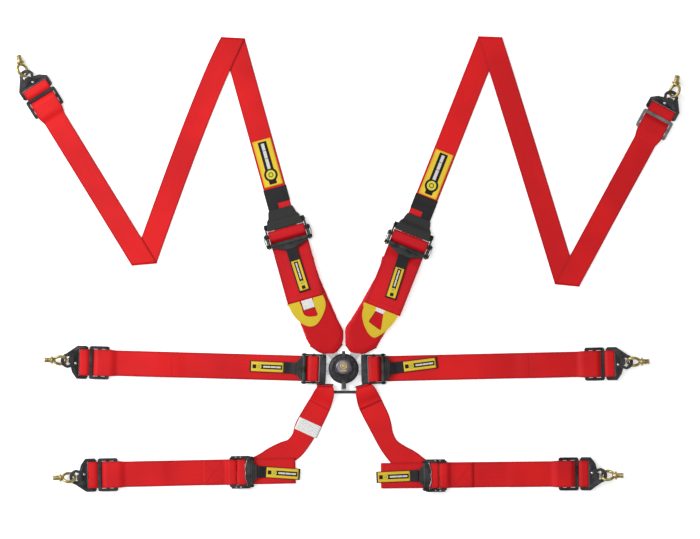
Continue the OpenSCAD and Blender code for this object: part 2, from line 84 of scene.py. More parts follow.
class Arm:
    """A frame on the floor: u runs along the strap, v to its left, z up."""

    def __init__(self, x, y, heading):
        self.o = Vector((x, y, 0))
        self.h = heading
        self.u = Vector((math.cos(heading), math.sin(heading), 0))
        self.v = Vector((-math.sin(heading), math.cos(heading), 0))

    def at(self, u, v=0.0, z=0.0):
        return self.o + self.u * u + self.v * v + Vector((0, 0, z))

    def turned(self, u, v, angle):
        """A frame at (u, v) of this one, turned by an angle in degrees."""
        p = self.at(u, v)
        return Arm(p.x, p.y, self.h + math.radians(angle))


def joint_arm(name):
    """Frame whose u axis runs the way that a hinge lies: its axis is (sin h, -cos h, 0)."""
    j = JOINTS[name]
    p = Vector(j["pos_m"]) / MM
    return Arm(p.x, p.y, math.atan2(j["axis"][0], -j["axis"][1])), p.z


HOOK_BAR = 45.5    # hook bar, from the slide's inner edge
CAM_U = 18.5       # cam bar, from the roller
CAM_RISE = 6.8     # cam bar, above an adjuster's foot
ROLLER_RISE = 5    # roller, above an adjuster's foot
TABS, HOOKS = {}, {}
for _arm in ARMS:
    _f, _z = joint_arm(f"{_arm}_tab_lift")
    TABS[_arm] = (_f.turned(-CAM_U, 0, 0), _z - CAM_RISE)
    HOOKS[_arm] = joint_arm(f"{_arm}_hook_swing")[0]


def towards(a, b):
    return Arm(a.x, a.y, math.atan2(b.y - a.y, b.x - a.x))


def crease(name):
    """(point, unit direction) of a fold line."""
    j = JOINTS[name]
    return Vector(j["pos_m"]) / MM, Vector(j["axis"]).normalized()


# ---- Meshes ----

def link(name, data):
    """An object in the scene from a mesh, lamp or camera."""
    obj = bpy.data.objects.new(name, data)
    bpy.context.scene.collection.objects.link(obj)
    return obj


def attach(obj, body):
    """Attaches a piece to the body that it rides on, if one is named."""
    if body:
        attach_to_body(obj, body)
    return obj


def new_object(name, verts, faces, mat, body=None):
    mesh = bpy.data.meshes.new(name)
    mesh.from_pydata([tuple(Vector(v) * MM) for v in verts], [], faces)
    mesh.validate()
    mesh.polygons.foreach_set("use_smooth", [True] * len(mesh.polygons))
    obj = link(name, mesh)
    mesh.materials.append(mat)
    bm = bmesh.new()
    bm.from_mesh(mesh)
    bmesh.ops.recalc_face_normals(bm, faces=bm.faces)
    bm.to_mesh(mesh)
    bm.free()
    return attach(obj, body)


def bevel(obj, width, segments=3, angle=35):
    m = obj.modifiers.new("Edges", "BEVEL")
    m.width = width * MM
    m.segments = segments
    m.limit_method = "ANGLE"
    m.angle_limit = math.radians(angle)
    m.harden_normals = False
    n = obj.modifiers.new("Normals", "WEIGHTED_NORMAL")
    n.keep_sharp = False
    n.weight = 80
    return obj


def plate(name, arm, outline, z0, z1, mat, edge, holes=(), body=None):
    """A flat plate with an outline in (u, v) and optional holes, its edges rounded."""
    bm = bmesh.new()
    edges = []
    for loop in (outline, *holes):
        vs = [bm.verts.new((p[0], p[1], z0)) for p in loop]
        edges += [bm.edges.new((vs[i], vs[(i + 1) % len(vs)])) for i in range(len(vs))]
    bmesh.ops.triangle_fill(bm, use_beauty=True, edges=edges)
    bmesh.ops.dissolve_limit(bm, angle_limit=0.01, verts=bm.verts, edges=bm.edges)
    made = bmesh.ops.extrude_face_region(bm, geom=list(bm.faces))
    for v in [g for g in made["geom"] if isinstance(g, bmesh.types.BMVert)]:
        v.co.z = z1
    place = Matrix(((arm.u.x, arm.v.x, 0, arm.o.x), (arm.u.y, arm.v.y, 0, arm.o.y),
                    (0, 0, 1, 0), (0, 0, 0, 1)))
    bm.transform(Matrix.Scale(MM, 4) @ place)
    bmesh.ops.recalc_face_normals(bm, faces=bm.faces)
    mesh = bpy.data.meshes.new(name)
    bm.to_mesh(mesh)
    bm.free()
    mesh.materials.append(mat)
    mesh.polygons.foreach_set("use_smooth", [True] * len(mesh.polygons))
    return attach(bevel(link(name, mesh), edge), body)


def lathed(profile, place, steps=48):
    """Vertices and faces of a closed turned shape: profile is [(radius, z), ...], and place is the matrix
    from its axis frame to the row frame, in mm."""
    verts, faces = [], []
    n = len(profile)
    for k in range(steps):
        a = 2 * math.pi * k / steps
        verts += [(r * math.cos(a), r * math.sin(a), z) for r, z in profile]
    for k in range(steps):
        for i in range(n - 1):
            a, b = k * n + i, ((k + 1) % steps) * n + i
            faces.append((a, b, b + 1, a + 1))
    faces.append([k * n for k in range(steps)][::-1])
    faces.append([k * n + n - 1 for k in range(steps)])
    return [place @ Vector(v) for v in verts], faces


def turned(name, profile, place, mat, body=None, steps=48):
    """A turned piece of its own."""
    return merge(name, [lathed(profile, place, steps)], mat, body)


def along(p, direction, up=UP):
    """Matrix that takes z to a direction, at a point."""
    z = Vector(direction).normalized()
    x = up.cross(z)
    x = x.normalized() if x.length > 1e-6 else Vector((1, 0, 0))
    y = z.cross(x)
    return Matrix(((x.x, y.x, z.x, p[0]), (x.y, y.y, z.y, p[1]), (x.z, y.z, z.z, p[2]), (0, 0, 0, 1)))


def merge(name, parts, mat, body=None):
    """One object from several (verts, faces) lists."""
    verts, faces = [], []
    for v, f in parts:
        base = len(verts)
        verts += [Vector(p) for p in v]
        faces += [[i + base for i in face] for face in f]
    return new_object(name, verts, faces, mat, body)


def ngon(r, n, turn=0.0, cx=0.0, cy=0.0):
    return [(cx + r * math.cos(turn + 2 * math.pi * k / n), cy + r * math.sin(turn + 2 * math.pi * k / n))
            for k in range(n)]


def tube(points, radius, sides=10, closed=False):
    """Vertices and faces of a round wire along points."""
    pts = [Vector(p) for p in points]
    n = len(pts)
    verts, faces = [], []
    for i, p in enumerate(pts):
        a = pts[i - 1] if closed or i else pts[0]
        b = pts[(i + 1) % n] if closed or i < n - 1 else pts[-1]
        m = along(p, b - a, Vector((0.13, 0.05, 1)))
        verts += [m @ Vector((x, y, 0)) for x, y in ngon(radius, sides)]
    for i in range(n if closed else n - 1):
        j = (i + 1) % n
        for k in range(sides):
            q = (k + 1) % sides
            faces.append((i * sides + k, j * sides + k, j * sides + q, i * sides + q))
    if not closed:
        faces.append(list(range(sides)))
        faces.append([(n - 1) * sides + k for k in range(sides)][::-1])
    return verts, faces


# ---- Paths and webbing ----

def corner(a, b, c, radius, share, steps):
    """Points of a smooth bend in place of the corner b. It takes up no more than a share of either side."""
    r = min(radius, (a - b).length * share, (c - b).length * share)
    p, q = b + (a - b).normalized() * r, b + (c - b).normalized() * r
    shares = [k / steps for k in range(steps + 1)]
    return [p * (1 - t) ** 2 + b * 2 * t * (1 - t) + q * t * t for t in shares]


def rounded(points, radius, steps=6):
    """A polyline whose corners are replaced by smooth bends."""
    pts = [Vector(p) for p in points]
    out = [pts[0]]
    for a, b, c in zip(pts, pts[1:], pts[2:]):
        out += corner(a, b, c, radius, 0.48, steps)
    return [*out, pts[-1]]


def round_corners(points, radius, steps=4):
    """A closed outline with its corners rounded."""
    n = len(points)
    out = []
    for i in range(n):
        a, b, c = Vector(points[i - 1]), Vector(points[i]), Vector(points[(i + 1) % n])
        out += [(w.x, w.y) for w in corner(a, b, c, radius, 0.45, steps)]
    return out


def spline(a, b, c, d, t):
    """A point of a smooth line through b and c, next to a and d."""
    return 0.5 * (2 * b + (c - a) * t + (2 * a - 5 * b + 4 * c - d) * t ** 2
                  + (3 * b - a - 3 * c + d) * t ** 3)


def spaced(points, step):
    """The same line with no gap longer than step."""
    out = [points[0]]
    for a, b in zip(points, points[1:]):
        n = max(1, math.ceil((b - a).length / step))
        out += [a.lerp(b, k / n) for k in range(1, n + 1)]
    clean = [out[0]]
    for p in out[1:]:
        if (p - clean[-1]).length > 1e-3:
            clean.append(p)
    return clean


COLUMNS = [-1, -0.985, -0.94, -0.8, -0.55, -0.28, 0, 0.28, 0.55, 0.8, 0.94, 0.985, 1]


def webbing(name, rows, mat, body, thick=WEB_T, seed=1.0):
    """A strap from rows of (centre, across, normal, half width): across is scaled by the half width,
    so it may be slanted along a crease. It carries a uv map in metres and a mark along its edges."""
    n = len(COLUMNS)
    verts, faces, uvs, edge = [], [], [], []
    run = area = 0.0
    last = rows[0]
    for row in rows:
        c, across, normal, half = row
        step = (c - last[0]).length
        run += step
        area += step * (half + last[3])
        last = row
        for sign in (1, -1):
            for a in COLUMNS:
                h = thick / 2 * (0.35 if abs(a) == 1 else 1.0)
                ripple = 0.12 * noise.noise(Vector((run * 0.03, a * 1.3, seed * 7.7)))
                verts.append(c + across * (half * a) + normal * (sign * h + ripple))
                uvs.append((a * half * MM, run * MM))
                edge.append(max(0.0, (abs(a) - 0.88) / 0.12))
    ring = list(range(n)) + list(range(2 * n - 1, n - 1, -1))
    for i in range(len(rows) - 1):
        for k in range(2 * n):
            a, b = ring[k], ring[(k + 1) % (2 * n)]
            faces.append((i * 2 * n + a, i * 2 * n + b, (i + 1) * 2 * n + b, (i + 1) * 2 * n + a))
    end = (len(rows) - 1) * 2 * n
    for k in range(n - 1):
        faces.append((k, k + 1, n + k + 1, n + k))
        faces.append((end + k + 1, end + k, end + n + k, end + n + k + 1))
    obj = new_object(name, verts, faces, mat, None)
    mesh = obj.data
    layer = mesh.uv_layers.new(name="weave")
    loops = np.zeros(len(mesh.loops), np.int32)
    mesh.loops.foreach_get("vertex_index", loops)
    layer.data.foreach_set("uv", np.array(uvs, np.float32)[loops].ravel())
    mark = mesh.attributes.new("edge", "FLOAT", "POINT")
    mark.data.foreach_set("value", np.array(edge, np.float32))
    obj["run"] = run * MM
    obj["area"] = area * MM ** 2
    if body:
        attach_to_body(obj, body)
    return obj


def path_rows(arm, path, width, step=5.0):
    """Rows of a strap along a path of (u, z) points in an arm's frame."""
    pts = spaced([Vector((p[0], p[1], 0)) for p in path], step)
    rows = []
    for i, p in enumerate(pts):
        d = pts[min(i + 1, len(pts) - 1)] - pts[max(i - 1, 0)]
        d.normalize()
        normal = arm.u * -d.y + Vector((0, 0, d.x))
        rows.append((arm.at(p.x, 0, p.y), arm.v.copy(), normal, width / 2))
    return rows


def flat_rows(line, z):
    """Rows of a strap lying flat along a smooth line of (x, y, half width) points."""
    pts = [Vector(p) for p in line]
    smooth = []
    for i in range(len(pts) - 1):
        a, b = pts[max(i - 1, 0)], pts[i]
        c, d = pts[i + 1], pts[min(i + 2, len(pts) - 1)]
        n = max(2, round((c - b).xy.length / 4))
        smooth += [spline(a, b, c, d, k / n) for k in range(n)]
    smooth.append(pts[-1])
    rows = []
    for i, p in enumerate(smooth):
        d = (smooth[min(i + 1, len(smooth) - 1)] - smooth[max(i - 1, 0)]).xy.normalized()
        rows.append((Vector((p.x, p.y, z)), Vector((-d.y, d.x, 0)), UP, p.z))
    return rows


def profile(points, u):
    """A height or width read from (u, value) points, eased between them."""
    for (a, za), (b, zb) in zip(points, points[1:]):
        if a <= u <= b:
            t = (u - a) / (b - a)
            t = t * t * (3 - 2 * t)
            return za + (zb - za) * t
    return points[-1][1]


def arc(cu, cz, r, start, stop, steps=12):
    turns = [math.radians(start + (stop - start) * k / steps) for k in range(steps + 1)]
    return [(cu + r * math.cos(a), cz + r * math.sin(a)) for a in turns]


def bend(points, radius=4):
    return [(p.x, p.y) for p in rounded([(x, y, 0) for x, y in points], radius)]


SLOT_HALF = 25.9    # half width of the slots in the hooks


def anchor_path(s, tail):
    """From over a slide, round the hook's bar and back along the floor to the tail."""
    return bend([(s - 22, LAYER_Z), (s - 14, LAYER_Z), (s - 4, LAYER_Z + 4.6), (s + 24.5, LAYER_Z + 4.6),
                 (s + 30.5, LAYER_Z), (s + 37.8, LAYER_Z), (s + 43.2, 6.8)], 5) \
        + arc(s + 55.5, 3.75, 3.05, 90, -90) + [(tail, FLOOR_Z)]


def snug(rows, arm, start):
    """Lets a strap fill the slots of its slide and hook, from start on along the arm."""
    out = []
    for c, across, normal, half in rows:
        u = (c.xy - arm.o.xy).dot(arm.u.xy)
        grown = min(max((u - start) / 14 + 1, 0), 1)
        out.append((c, across, normal, half + grown * (SLOT_HALF - half)))
    return out


def sewn_loop(end):
    """Round an adjuster's back bar, from the sewn end on top to the floor run."""
    return bend([(end, LAYER_Z), (31, LAYER_Z), (25, 9), (14, 9), (10.4, 7.4), (10.4, 2.2), (13, FLOOR_Z),
                 (18, FLOOR_Z)], 4)


# ---- Materials ----

def add(tree, kind, inputs=None, **props):
    node = tree.nodes.new("ShaderNode" + kind)
    for key, value in props.items():
        setattr(node, key, value)
    for key, value in (inputs or {}).items():
        if isinstance(value, bpy.types.NodeSocket):
            tree.links.new(value, node.inputs[key])
        else:
            node.inputs[key].default_value = value
    return node


def material(name, roughness, metallic=0.0, specular=0.5, sheen=0.0, coat=0.0):
    m = bpy.data.materials.new(name)
    m.use_nodes = True
    tree = m.node_tree
    shader = tree.nodes["Principled BSDF"]
    shader.inputs["Roughness"].default_value = roughness
    shader.inputs["Metallic"].default_value = metallic
    shader.inputs["Specular IOR Level"].default_value = specular
    shader.inputs["Sheen Weight"].default_value = sheen
    shader.inputs["Sheen Roughness"].default_value = 0.4
    shader.inputs["Coat Weight"].default_value = coat
    shader.inputs["Coat Roughness"].default_value = 0.15
    return m, tree, shader


def math_node(tree, operation, a, b=0.0):
    return add(tree, "Math", {0: a, 1: b}, operation=operation).outputs[0]


def times(tree, a, b):
    return math_node(tree, "MULTIPLY", a, b)


def mix_colour(tree, factor, a, b):
    node = tree.nodes.new("ShaderNodeMix")
    node.data_type = "RGBA"
    for socket, value in ((node.inputs[0], factor), (node.inputs[6], a), (node.inputs[7], b)):
        if isinstance(value, bpy.types.NodeSocket):
            tree.links.new(value, socket)
        else:
            socket.default_value = (*value[:3], 1.0) if isinstance(value, tuple) else value
    return node.outputs[2]


def scaled(c, k):
    return (min(1, c[0] * k), min(1, c[1] * k), min(1, c[2] * k), 1.0)


def ramp(tree, value, low, high, out_low=0.0, out_high=1.0):
    return add(tree, "MapRange", {"Value": value, "From Min": low, "From Max": high, "To Min": out_low,
                                  "To Max": out_high}, clamp=True).outputs[0]


def woven(name, colour, dark, rib=1.5, pick=1.1, roughness=0.5, sheen=0.06, edge_line=0.7, streak=0.16,
          strength=0.35):
    """Herringbone webbing read from the strap's own uv map: ribs along it, picks across, darker selvedge."""
    m, tree, shader = material(name, roughness, specular=0.16, sheen=sheen)
    shader.inputs["Sheen Tint"].default_value = scaled(colour, 1.5)
    uv = add(tree, "UVMap", uv_map="weave").outputs[0]
    part = add(tree, "SeparateXYZ", {0: uv})
    u, v = part.outputs[0], part.outputs[1]
    column = math_node(tree, "DIVIDE", u, rib * MM)
    rib_wave = math_node(tree, "SINE", times(tree, column, math.pi))
    rib_wave = math_node(tree, "ABSOLUTE", rib_wave)
    phase = times(tree, math_node(tree, "PINGPONG", column, 2.0), math.pi * 0.8)
    lines = times(tree, v, 2 * math.pi / (pick * MM))
    pick_wave = math_node(tree, "SINE", math_node(tree, "ADD", lines, phase))
    height = math_node(tree, "ADD", times(tree, rib_wave, 0.6),
                       times(tree, pick_wave, 0.28))
    long_way = add(tree, "CombineXYZ", {0: times(tree, u, 420.0),
                                        1: times(tree, v, 9.0)}).outputs[0]
    streaks = add(tree, "TexNoise", {"Vector": long_way, "Scale": 1.0, "Detail": 2.0}).outputs[0]
    place = add(tree, "TexCoord").outputs["Object"]
    cloud = add(tree, "TexNoise", {"Vector": place, "Scale": 7.0, "Detail": 2.0}).outputs[0]
    base = mix_colour(tree, ramp(tree, height, 0.0, 0.55), dark, colour)
    base = mix_colour(tree, ramp(tree, streaks, 0.35, 0.7, 0.0, streak), base, dark)
    base = mix_colour(tree, ramp(tree, cloud, 0.42, 0.62, 0.0, 0.5), base, scaled(colour, 1.22))
    mark = add(tree, "Attribute", attribute_name="edge").outputs["Fac"]
    base = mix_colour(tree, times(tree, mark, edge_line), base, scaled(dark, 0.6))
    tree.links.new(base, shader.inputs["Base Color"])
    tree.links.new(ramp(tree, streaks, 0.3, 0.7, roughness - 0.07, roughness + 0.08),
                   shader.inputs["Roughness"])
    bump = add(tree, "Bump", {"Height": height, "Strength": strength, "Distance": 0.25 * MM})
    tree.links.new(bump.outputs[0], shader.inputs["Normal"])
    return m


def cloth(name, colour, dark, pitch=0.7, roughness=0.55, sheen=0.06, wrinkle=0.5, strength=0.3):
    """Plain-weave cloth read from object coordinates, with soft creases."""
    m, tree, shader = material(name, roughness, specular=0.14, sheen=sheen)
    shader.inputs["Sheen Tint"].default_value = scaled(colour, 1.5)
    place = add(tree, "TexCoord").outputs["Object"]
    part = add(tree, "SeparateXYZ", {0: place})
    wave = [math_node(tree, "SINE", times(tree, part.outputs[k], 2 * math.pi / (pitch * MM)))
            for k in (0, 1)]
    weave = times(tree, wave[0], wave[1])
    creases = add(tree, "TexNoise", {"Vector": place, "Scale": 38.0, "Detail": 3.0,
                                     "Distortion": 0.8}).outputs[0]
    cloud = add(tree, "TexNoise", {"Vector": place, "Scale": 11.0, "Detail": 2.0}).outputs[0]
    base = mix_colour(tree, ramp(tree, weave, -0.8, 0.6), dark, colour)
    base = mix_colour(tree, ramp(tree, cloud, 0.35, 0.7, 0.0, 0.35), base, dark)
    tree.links.new(base, shader.inputs["Base Color"])
    tree.links.new(ramp(tree, creases, 0.3, 0.7, roughness - 0.06, roughness + 0.08),
                   shader.inputs["Roughness"])
    fine = add(tree, "Bump", {"Height": weave, "Strength": strength, "Distance": 0.15 * MM})
    soft = add(tree, "Bump", {"Height": creases, "Strength": wrinkle, "Distance": 1.2 * MM,
                              "Normal": fine.outputs[0]})
    tree.links.new(soft.outputs[0], shader.inputs["Normal"])
    return m


def hard(name, colour, roughness, metallic=0.0, grain=900.0, mottle=0.25, strength=0.15, wear=0.35,
         wear_colour=None, coat=0.0, specular=0.25, distance=0.1, patches=60.0):
    """Metal or moulded finish: fine grain, patchy tone, and lighter worn edges."""
    m, tree, shader = material(name, roughness, metallic, specular=specular, coat=coat)
    place = add(tree, "TexCoord").outputs["Object"]
    fine = add(tree, "TexNoise", {"Vector": place, "Scale": grain, "Detail": 3.0}).outputs[0]
    patch = add(tree, "TexNoise", {"Vector": place, "Scale": patches, "Detail": 4.0}).outputs[0]
    base = mix_colour(tree, ramp(tree, patch, 0.3, 0.7), scaled(colour, 1 - mottle),
                      scaled(colour, 1 + mottle))
    edge = add(tree, "NewGeometry").outputs["Pointiness"]
    rub = times(tree, ramp(tree, edge, 0.51, 0.56, 0.0, wear), ramp(tree, patch, 0.35, 0.6))
    base = mix_colour(tree, rub, base, wear_colour or scaled(colour, 3.0))
    tree.links.new(base, shader.inputs["Base Color"])
    tree.links.new(ramp(tree, fine, 0.3, 0.7, max(0.05, roughness - 0.1), roughness + 0.1),
                   shader.inputs["Roughness"])
    bump = add(tree, "Bump", {"Height": fine, "Strength": strength, "Distance": distance * MM})
    tree.links.new(bump.outputs[0], shader.inputs["Normal"])
    return m


def printed(name, colour, line, pitch=2.6, roughness=0.7):
    """Coated paper or satin tag with faint ruled lines, broken up so that they say nothing."""
    m, tree, shader = material(name, roughness)
    uv = add(tree, "UVMap", uv_map="weave").outputs[0]
    part = add(tree, "SeparateXYZ", {0: uv})
    rule = math_node(tree, "SINE", times(tree, part.outputs[1], 2 * math.pi / (pitch * MM)))
    broken = add(tree, "TexNoise", {"Vector": add(tree, "CombineXYZ", {
        0: times(tree, part.outputs[0], 500.0),
        1: times(tree, part.outputs[1], 380.0)}).outputs[0], "Scale": 1.0}).outputs[0]
    ink = times(tree, ramp(tree, rule, 0.3, 0.7), ramp(tree, broken, 0.45, 0.55))
    base = mix_colour(tree, times(tree, ink, 0.8), colour, line)
    tree.links.new(base, shader.inputs["Base Color"])
    return m


RED, RED_DARK = (0.55, 0.006, 0.007), (0.36, 0.002, 0.007)
MAT = {
    "web": woven("webbing_red", RED, RED_DARK),
    "wide": woven("webbing_red_wide", (0.52, 0.005, 0.009), (0.33, 0.002, 0.008), rib=1.7),
    "black_web": woven("webbing_black", (0.015, 0.015, 0.018), (0.005, 0.005, 0.006), sheen=0.1,
                       edge_line=0.4, streak=0.4),
    "sleeve": cloth("sleeve_red", (0.54, 0.004, 0.008), (0.37, 0.002, 0.006)),
    "cover": cloth("cover_black", (0.036, 0.036, 0.035), (0.016, 0.016, 0.016), pitch=1.0, sheen=0.08,
                   wrinkle=0.3),
    # dark piping: painted shade along the sleeve's lower hem, partly the dark edge of its inner lining
    "lining_edge_shade": cloth("lining_edge_painted_shade", (0.10, 0.006, 0.010), (0.05, 0.004, 0.006), pitch=0.9, sheen=0.1),
    "pull": cloth("loop_yellow", (0.66, 0.50, 0.035), (0.46, 0.33, 0.012), pitch=1.5, wrinkle=0.35),
    "label": woven("label_yellow", (0.66, 0.46, 0.03), (0.46, 0.30, 0.01), rib=0.8, pick=0.6,
                   edge_line=0.5, strength=0.2),
    "label_black": cloth("label_black", (0.012, 0.012, 0.013), (0.006, 0.006, 0.007), pitch=0.6,
                         sheen=0.05, wrinkle=0.1),
    "label_white": cloth("label_white", (0.62, 0.62, 0.60), (0.45, 0.45, 0.44), pitch=0.6, sheen=0.05,
                         wrinkle=0.1),
    "tag": printed("tag_white", (0.66, 0.67, 0.65), (0.10, 0.10, 0.12)),
    "black": hard("black_hardware", (0.006, 0.006, 0.007), 0.36, wear=0.5, wear_colour=(0.12, 0.12, 0.13),
                  specular=0.2),
    "cam": hard("cam_black", (0.012, 0.013, 0.013), 0.42, wear=0.3, wear_colour=(0.10, 0.10, 0.10),
                specular=0.2),
    "housing": hard("buckle_black", (0.009, 0.008, 0.010), 0.45, grain=520.0, mottle=0.8, strength=0.7,
                    distance=0.35, patches=260.0, wear=0.3, wear_colour=(0.12, 0.12, 0.13)),
    "lever": hard("lever_black", (0.007, 0.007, 0.009), 0.34, wear=0.5, wear_colour=(0.12, 0.12, 0.14),
                  specular=0.22),
    "cap": hard("cap_smoke", (0.10, 0.085, 0.10), 0.28, metallic=0.5, grain=300.0, mottle=0.3, coat=0.5,
                wear=0.2, patches=90.0),
    "gold": hard("emblem_gold", (0.46, 0.36, 0.12), 0.35, metallic=0.8, wear=0.2),
    "steel": hard("bright_steel", (0.30, 0.30, 0.31), 0.30, metallic=1.0, mottle=0.12, wear=0.2,
                  wear_colour=(0.85, 0.85, 0.87)),
    "zinc": hard("yellow_zinc", (0.34, 0.27, 0.11), 0.34, metallic=1.0, mottle=0.35, patches=120.0,
                 wear=0.5, wear_colour=(0.66, 0.62, 0.48)),
    "chrome": hard("chrome_slide", (0.22, 0.22, 0.23), 0.25, metallic=1.0, mottle=0.2, wear=0.3,
                   wear_colour=(0.8, 0.8, 0.82)),
    "thread": cloth("stitching_red", (0.36, 0.005, 0.012), (0.24, 0.003, 0.008), pitch=0.4, wrinkle=0.0),
    "thread_black": cloth("stitching_black", (0.05, 0.05, 0.055), (0.02, 0.02, 0.022), pitch=0.4,
                          wrinkle=0.0),
    "thread_yellow": cloth("stitching_yellow", (0.55, 0.36, 0.01), (0.36, 0.22, 0.01), pitch=0.4,
                           wrinkle=0.0),
}


# ---- Stitching ----

def stitches(name, lines, mat, body, pitch=4.2, length=2.7, width=0.55):
    """Short rounded stitches laid along polylines in the row frame."""
    parts = []
    ring = [(math.cos(a), math.sin(a)) for a in [k * math.pi / 3 for k in range(6)]]
    for line in lines:
        pts = [Vector(p) for p in line]
        for a, b in zip(pts, pts[1:]):
            n = max(1, round((b - a).length / pitch))
            d = (b - a).normalized()
            side = d.cross(Vector((0, 0, 1))).normalized()
            up = side.cross(d)
            for k in range(n):
                c = a.lerp(b, (k + 0.5) / n)
                verts = []
                for t, r in ((-1, 0.35), (-0.6, 1), (0.6, 1), (1, 0.35)):
                    verts += [c + d * (t * length / 2) + side * (x * r * width / 2)
                              + up * (y * r * width * 0.4) for x, y in ring]
                faces = [(6 * i + j, 6 * i + (j + 1) % 6, 6 * i + 6 + (j + 1) % 6, 6 * i + 6 + j)
                         for i in range(3) for j in range(6)]
                faces += [list(range(6))[::-1], list(range(18, 24))]
                parts.append((verts, faces))
    return merge(name, parts, mat, body)


def across(arm, u, half, z):
    """The ends of a stitched line straight across a strap."""
    return [arm.at(u, -half, z), arm.at(u, half, z)]


def box_lines(arm, u0, u1, v, z, cross=True):
    """Corner points of a sewn box, with its diagonals."""
    c = [arm.at(u0, -v, z), arm.at(u1, -v, z), arm.at(u1, v, z), arm.at(u0, v, z)]
    lines = [[*c, c[0]]]
    if cross:
        lines += [[c[0], c[2]], [c[1], c[3]]]
    return lines


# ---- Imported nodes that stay: rounded edges and a real finish ----

def dress(node, mat, width=0.5):
    obj = NODES[node]
    mesh = obj.data
    if "custom_normal" in mesh.attributes:
        mesh.attributes.remove(mesh.attributes["custom_normal"])
    mesh.materials.clear()
    mesh.materials.append(mat)
    mesh.polygons.foreach_set("material_index", [0] * len(mesh.polygons))
    mesh.polygons.foreach_set("use_smooth", [True] * len(mesh.polygons))
    weld = obj.modifiers.new("Weld", "WELD")
    weld.merge_threshold = 0.004 * MM
    flat = obj.modifiers.new("Flat", "DECIMATE")
    flat.decimate_type = "DISSOLVE"
    flat.angle_limit = math.radians(0.6)
    bevel(obj, width)


dress("buckle_base", MAT["housing"], 0.4)
dress("buckle_housing", MAT["housing"], 0.7)
dress("release_lever", MAT["lever"], 0.9)
dress("return_spring", MAT["steel"], 0.1)
dress("lock_pins", MAT["steel"], 0.3)
dress("crotch_tongue", MAT["steel"], 0.4)
bar_mesh = NODES["crotch_tongue"].data
bar_mesh.materials.append(MAT["black"])
for face in bar_mesh.polygons:
    face.material_index = 1 if face.center.y < -42.8 * MM else 0
NODES["crotch_tongue"].modifiers["Flat"].delimit = {"MATERIAL"}
for side in ("left", "right"):
    for place in ("lap", "shoulder"):
        dress(f"{side}_{place}_tongue", MAT["steel"], 0.5)
for name in ARMS:
    dress(f"{name}_slide", MAT["chrome" if name == "right_shoulder" else "black"], 0.9)
    dress(f"{name}_hook", MAT["black"], 0.7)
    dress(f"{name}_gate", MAT["cam"], 0.3)

# ---- Buckle trim ----

LEVER_TOP = 19.3
CAP_Y = 4.0
cap_place = Matrix.Translation((0, CAP_Y, LEVER_TOP))
turned("release_lever_cap",
       [(0, 0.1), (14.6, 0.1), (14.7, 0.9), (14.2, 1.7), (12.6, 2.1), (6, 2.35), (0, 2.4)],
       cap_place, MAT["cap"], "lever", 72)
turned("release_lever_rim", [(14.9, -0.2), (17.2, -0.2), (17.3, 0.5), (16.6, 1.1), (15.4, 1.2), (14.9, 0.7)],
       cap_place, MAT["lever"], "lever", 72)


def block(u0, u1, half):
    """The outline of a rectangle."""
    return [(u0, -half), (u1, -half), (u1, half), (u0, half)]


def joined(name, objs, body):
    """One object from several that share a material, with their modifiers applied."""
    graph = bpy.context.evaluated_depsgraph_get()
    bm = bmesh.new()
    for o in objs:
        made = bpy.data.meshes.new_from_object(o.evaluated_get(graph))
        bm.from_mesh(made)
        bpy.data.meshes.remove(made)
    mesh = bpy.data.meshes.new(name)
    bm.to_mesh(mesh)
    bm.free()
    mesh.materials.append(objs[0].data.materials[0])
    obj = link(name, mesh)
    for o in objs:
        bpy.data.objects.remove(o)
    n = obj.modifiers.new("Normals", "WEIGHTED_NORMAL")
    n.keep_sharp = False
    return attach(obj, body)


flat_arm = Arm(0, CAP_Y, math.radians(90))
cap_z = LEVER_TOP + 2.3
joined("release_lever_emblem", [
    plate("ring", flat_arm, ngon(7.3, 6, 0, 2.4, 0), cap_z - 0.3, cap_z + 0.5, MAT["gold"], 0.12,
          [ngon(5.2, 6, 0, 2.4, 0)]),
    plate("dot", flat_arm, ngon(3.6, 6, math.pi / 6, 2.4, 0), cap_z - 0.3, cap_z + 0.5, MAT["gold"], 0.12),
    plate("bar", flat_arm, block(-8.6, -5.9, 5.4), cap_z - 0.4, cap_z + 0.35, MAT["gold"], 0.1),
], "lever")
GRIPS = [(25.6, 1.9), (27.6, 1.8), (29.6, 1.7), (-36.4, 2.6), (-38.6, 2.9), (-40.8, 3.2)]
joined("release_lever_grips", [
    plate(f"grip{k}", flat_arm, block(u - 0.5, u + 0.5, w), LEVER_TOP - 0.1, LEVER_TOP + 0.7, MAT["lever"],
          0.25)
    for k, (u, w) in enumerate(GRIPS)], "lever")
turned("buckle_top_ring", [(22.4, 16.0), (24.6, 16.0), (24.4, 16.5), (22.6, 16.5)], Matrix.Identity(4),
       MAT["housing"], "buckle", 72)


# ---- Anchors: rivets and eye bolts ----

def hook_matrix(name):
    arm = HOOKS[name]
    pitch = math.acos(min(1.0, abs(JOINTS[f"{name}_gate_open"]["axis"][2])))
    bar_z = JOINTS[f"{name}_hook_swing"]["pos_m"][2] / MM
    return Matrix.Translation(arm.at(0, 0, bar_z)) @ Matrix.Rotation(arm.h, 4, "Z") \
        @ Matrix.Rotation(-pitch, 4, "Y")


def remeshed(obj, voxel, smooth=2):
    """Turns overlapping shapes into one forged skin."""
    m = obj.modifiers.new("Remesh", "REMESH")
    m.mode = "VOXEL"
    m.voxel_size = voxel * MM
    m.use_smooth_shade = True
    s = obj.modifiers.new("Smooth", "SMOOTH")
    s.factor = 0.6
    s.iterations = smooth
    graph = bpy.context.evaluated_depsgraph_get()
    made = bpy.data.meshes.new_from_object(obj.evaluated_get(graph))
    obj.modifiers.clear()
    made.name = obj.name
    obj.data = made
    return obj


def carried(obj, matrix):
    """Carries a mesh by a matrix in mm."""
    obj.data.transform(Matrix.Scale(MM, 4) @ matrix @ Matrix.Scale(1 / MM, 4))
    return obj


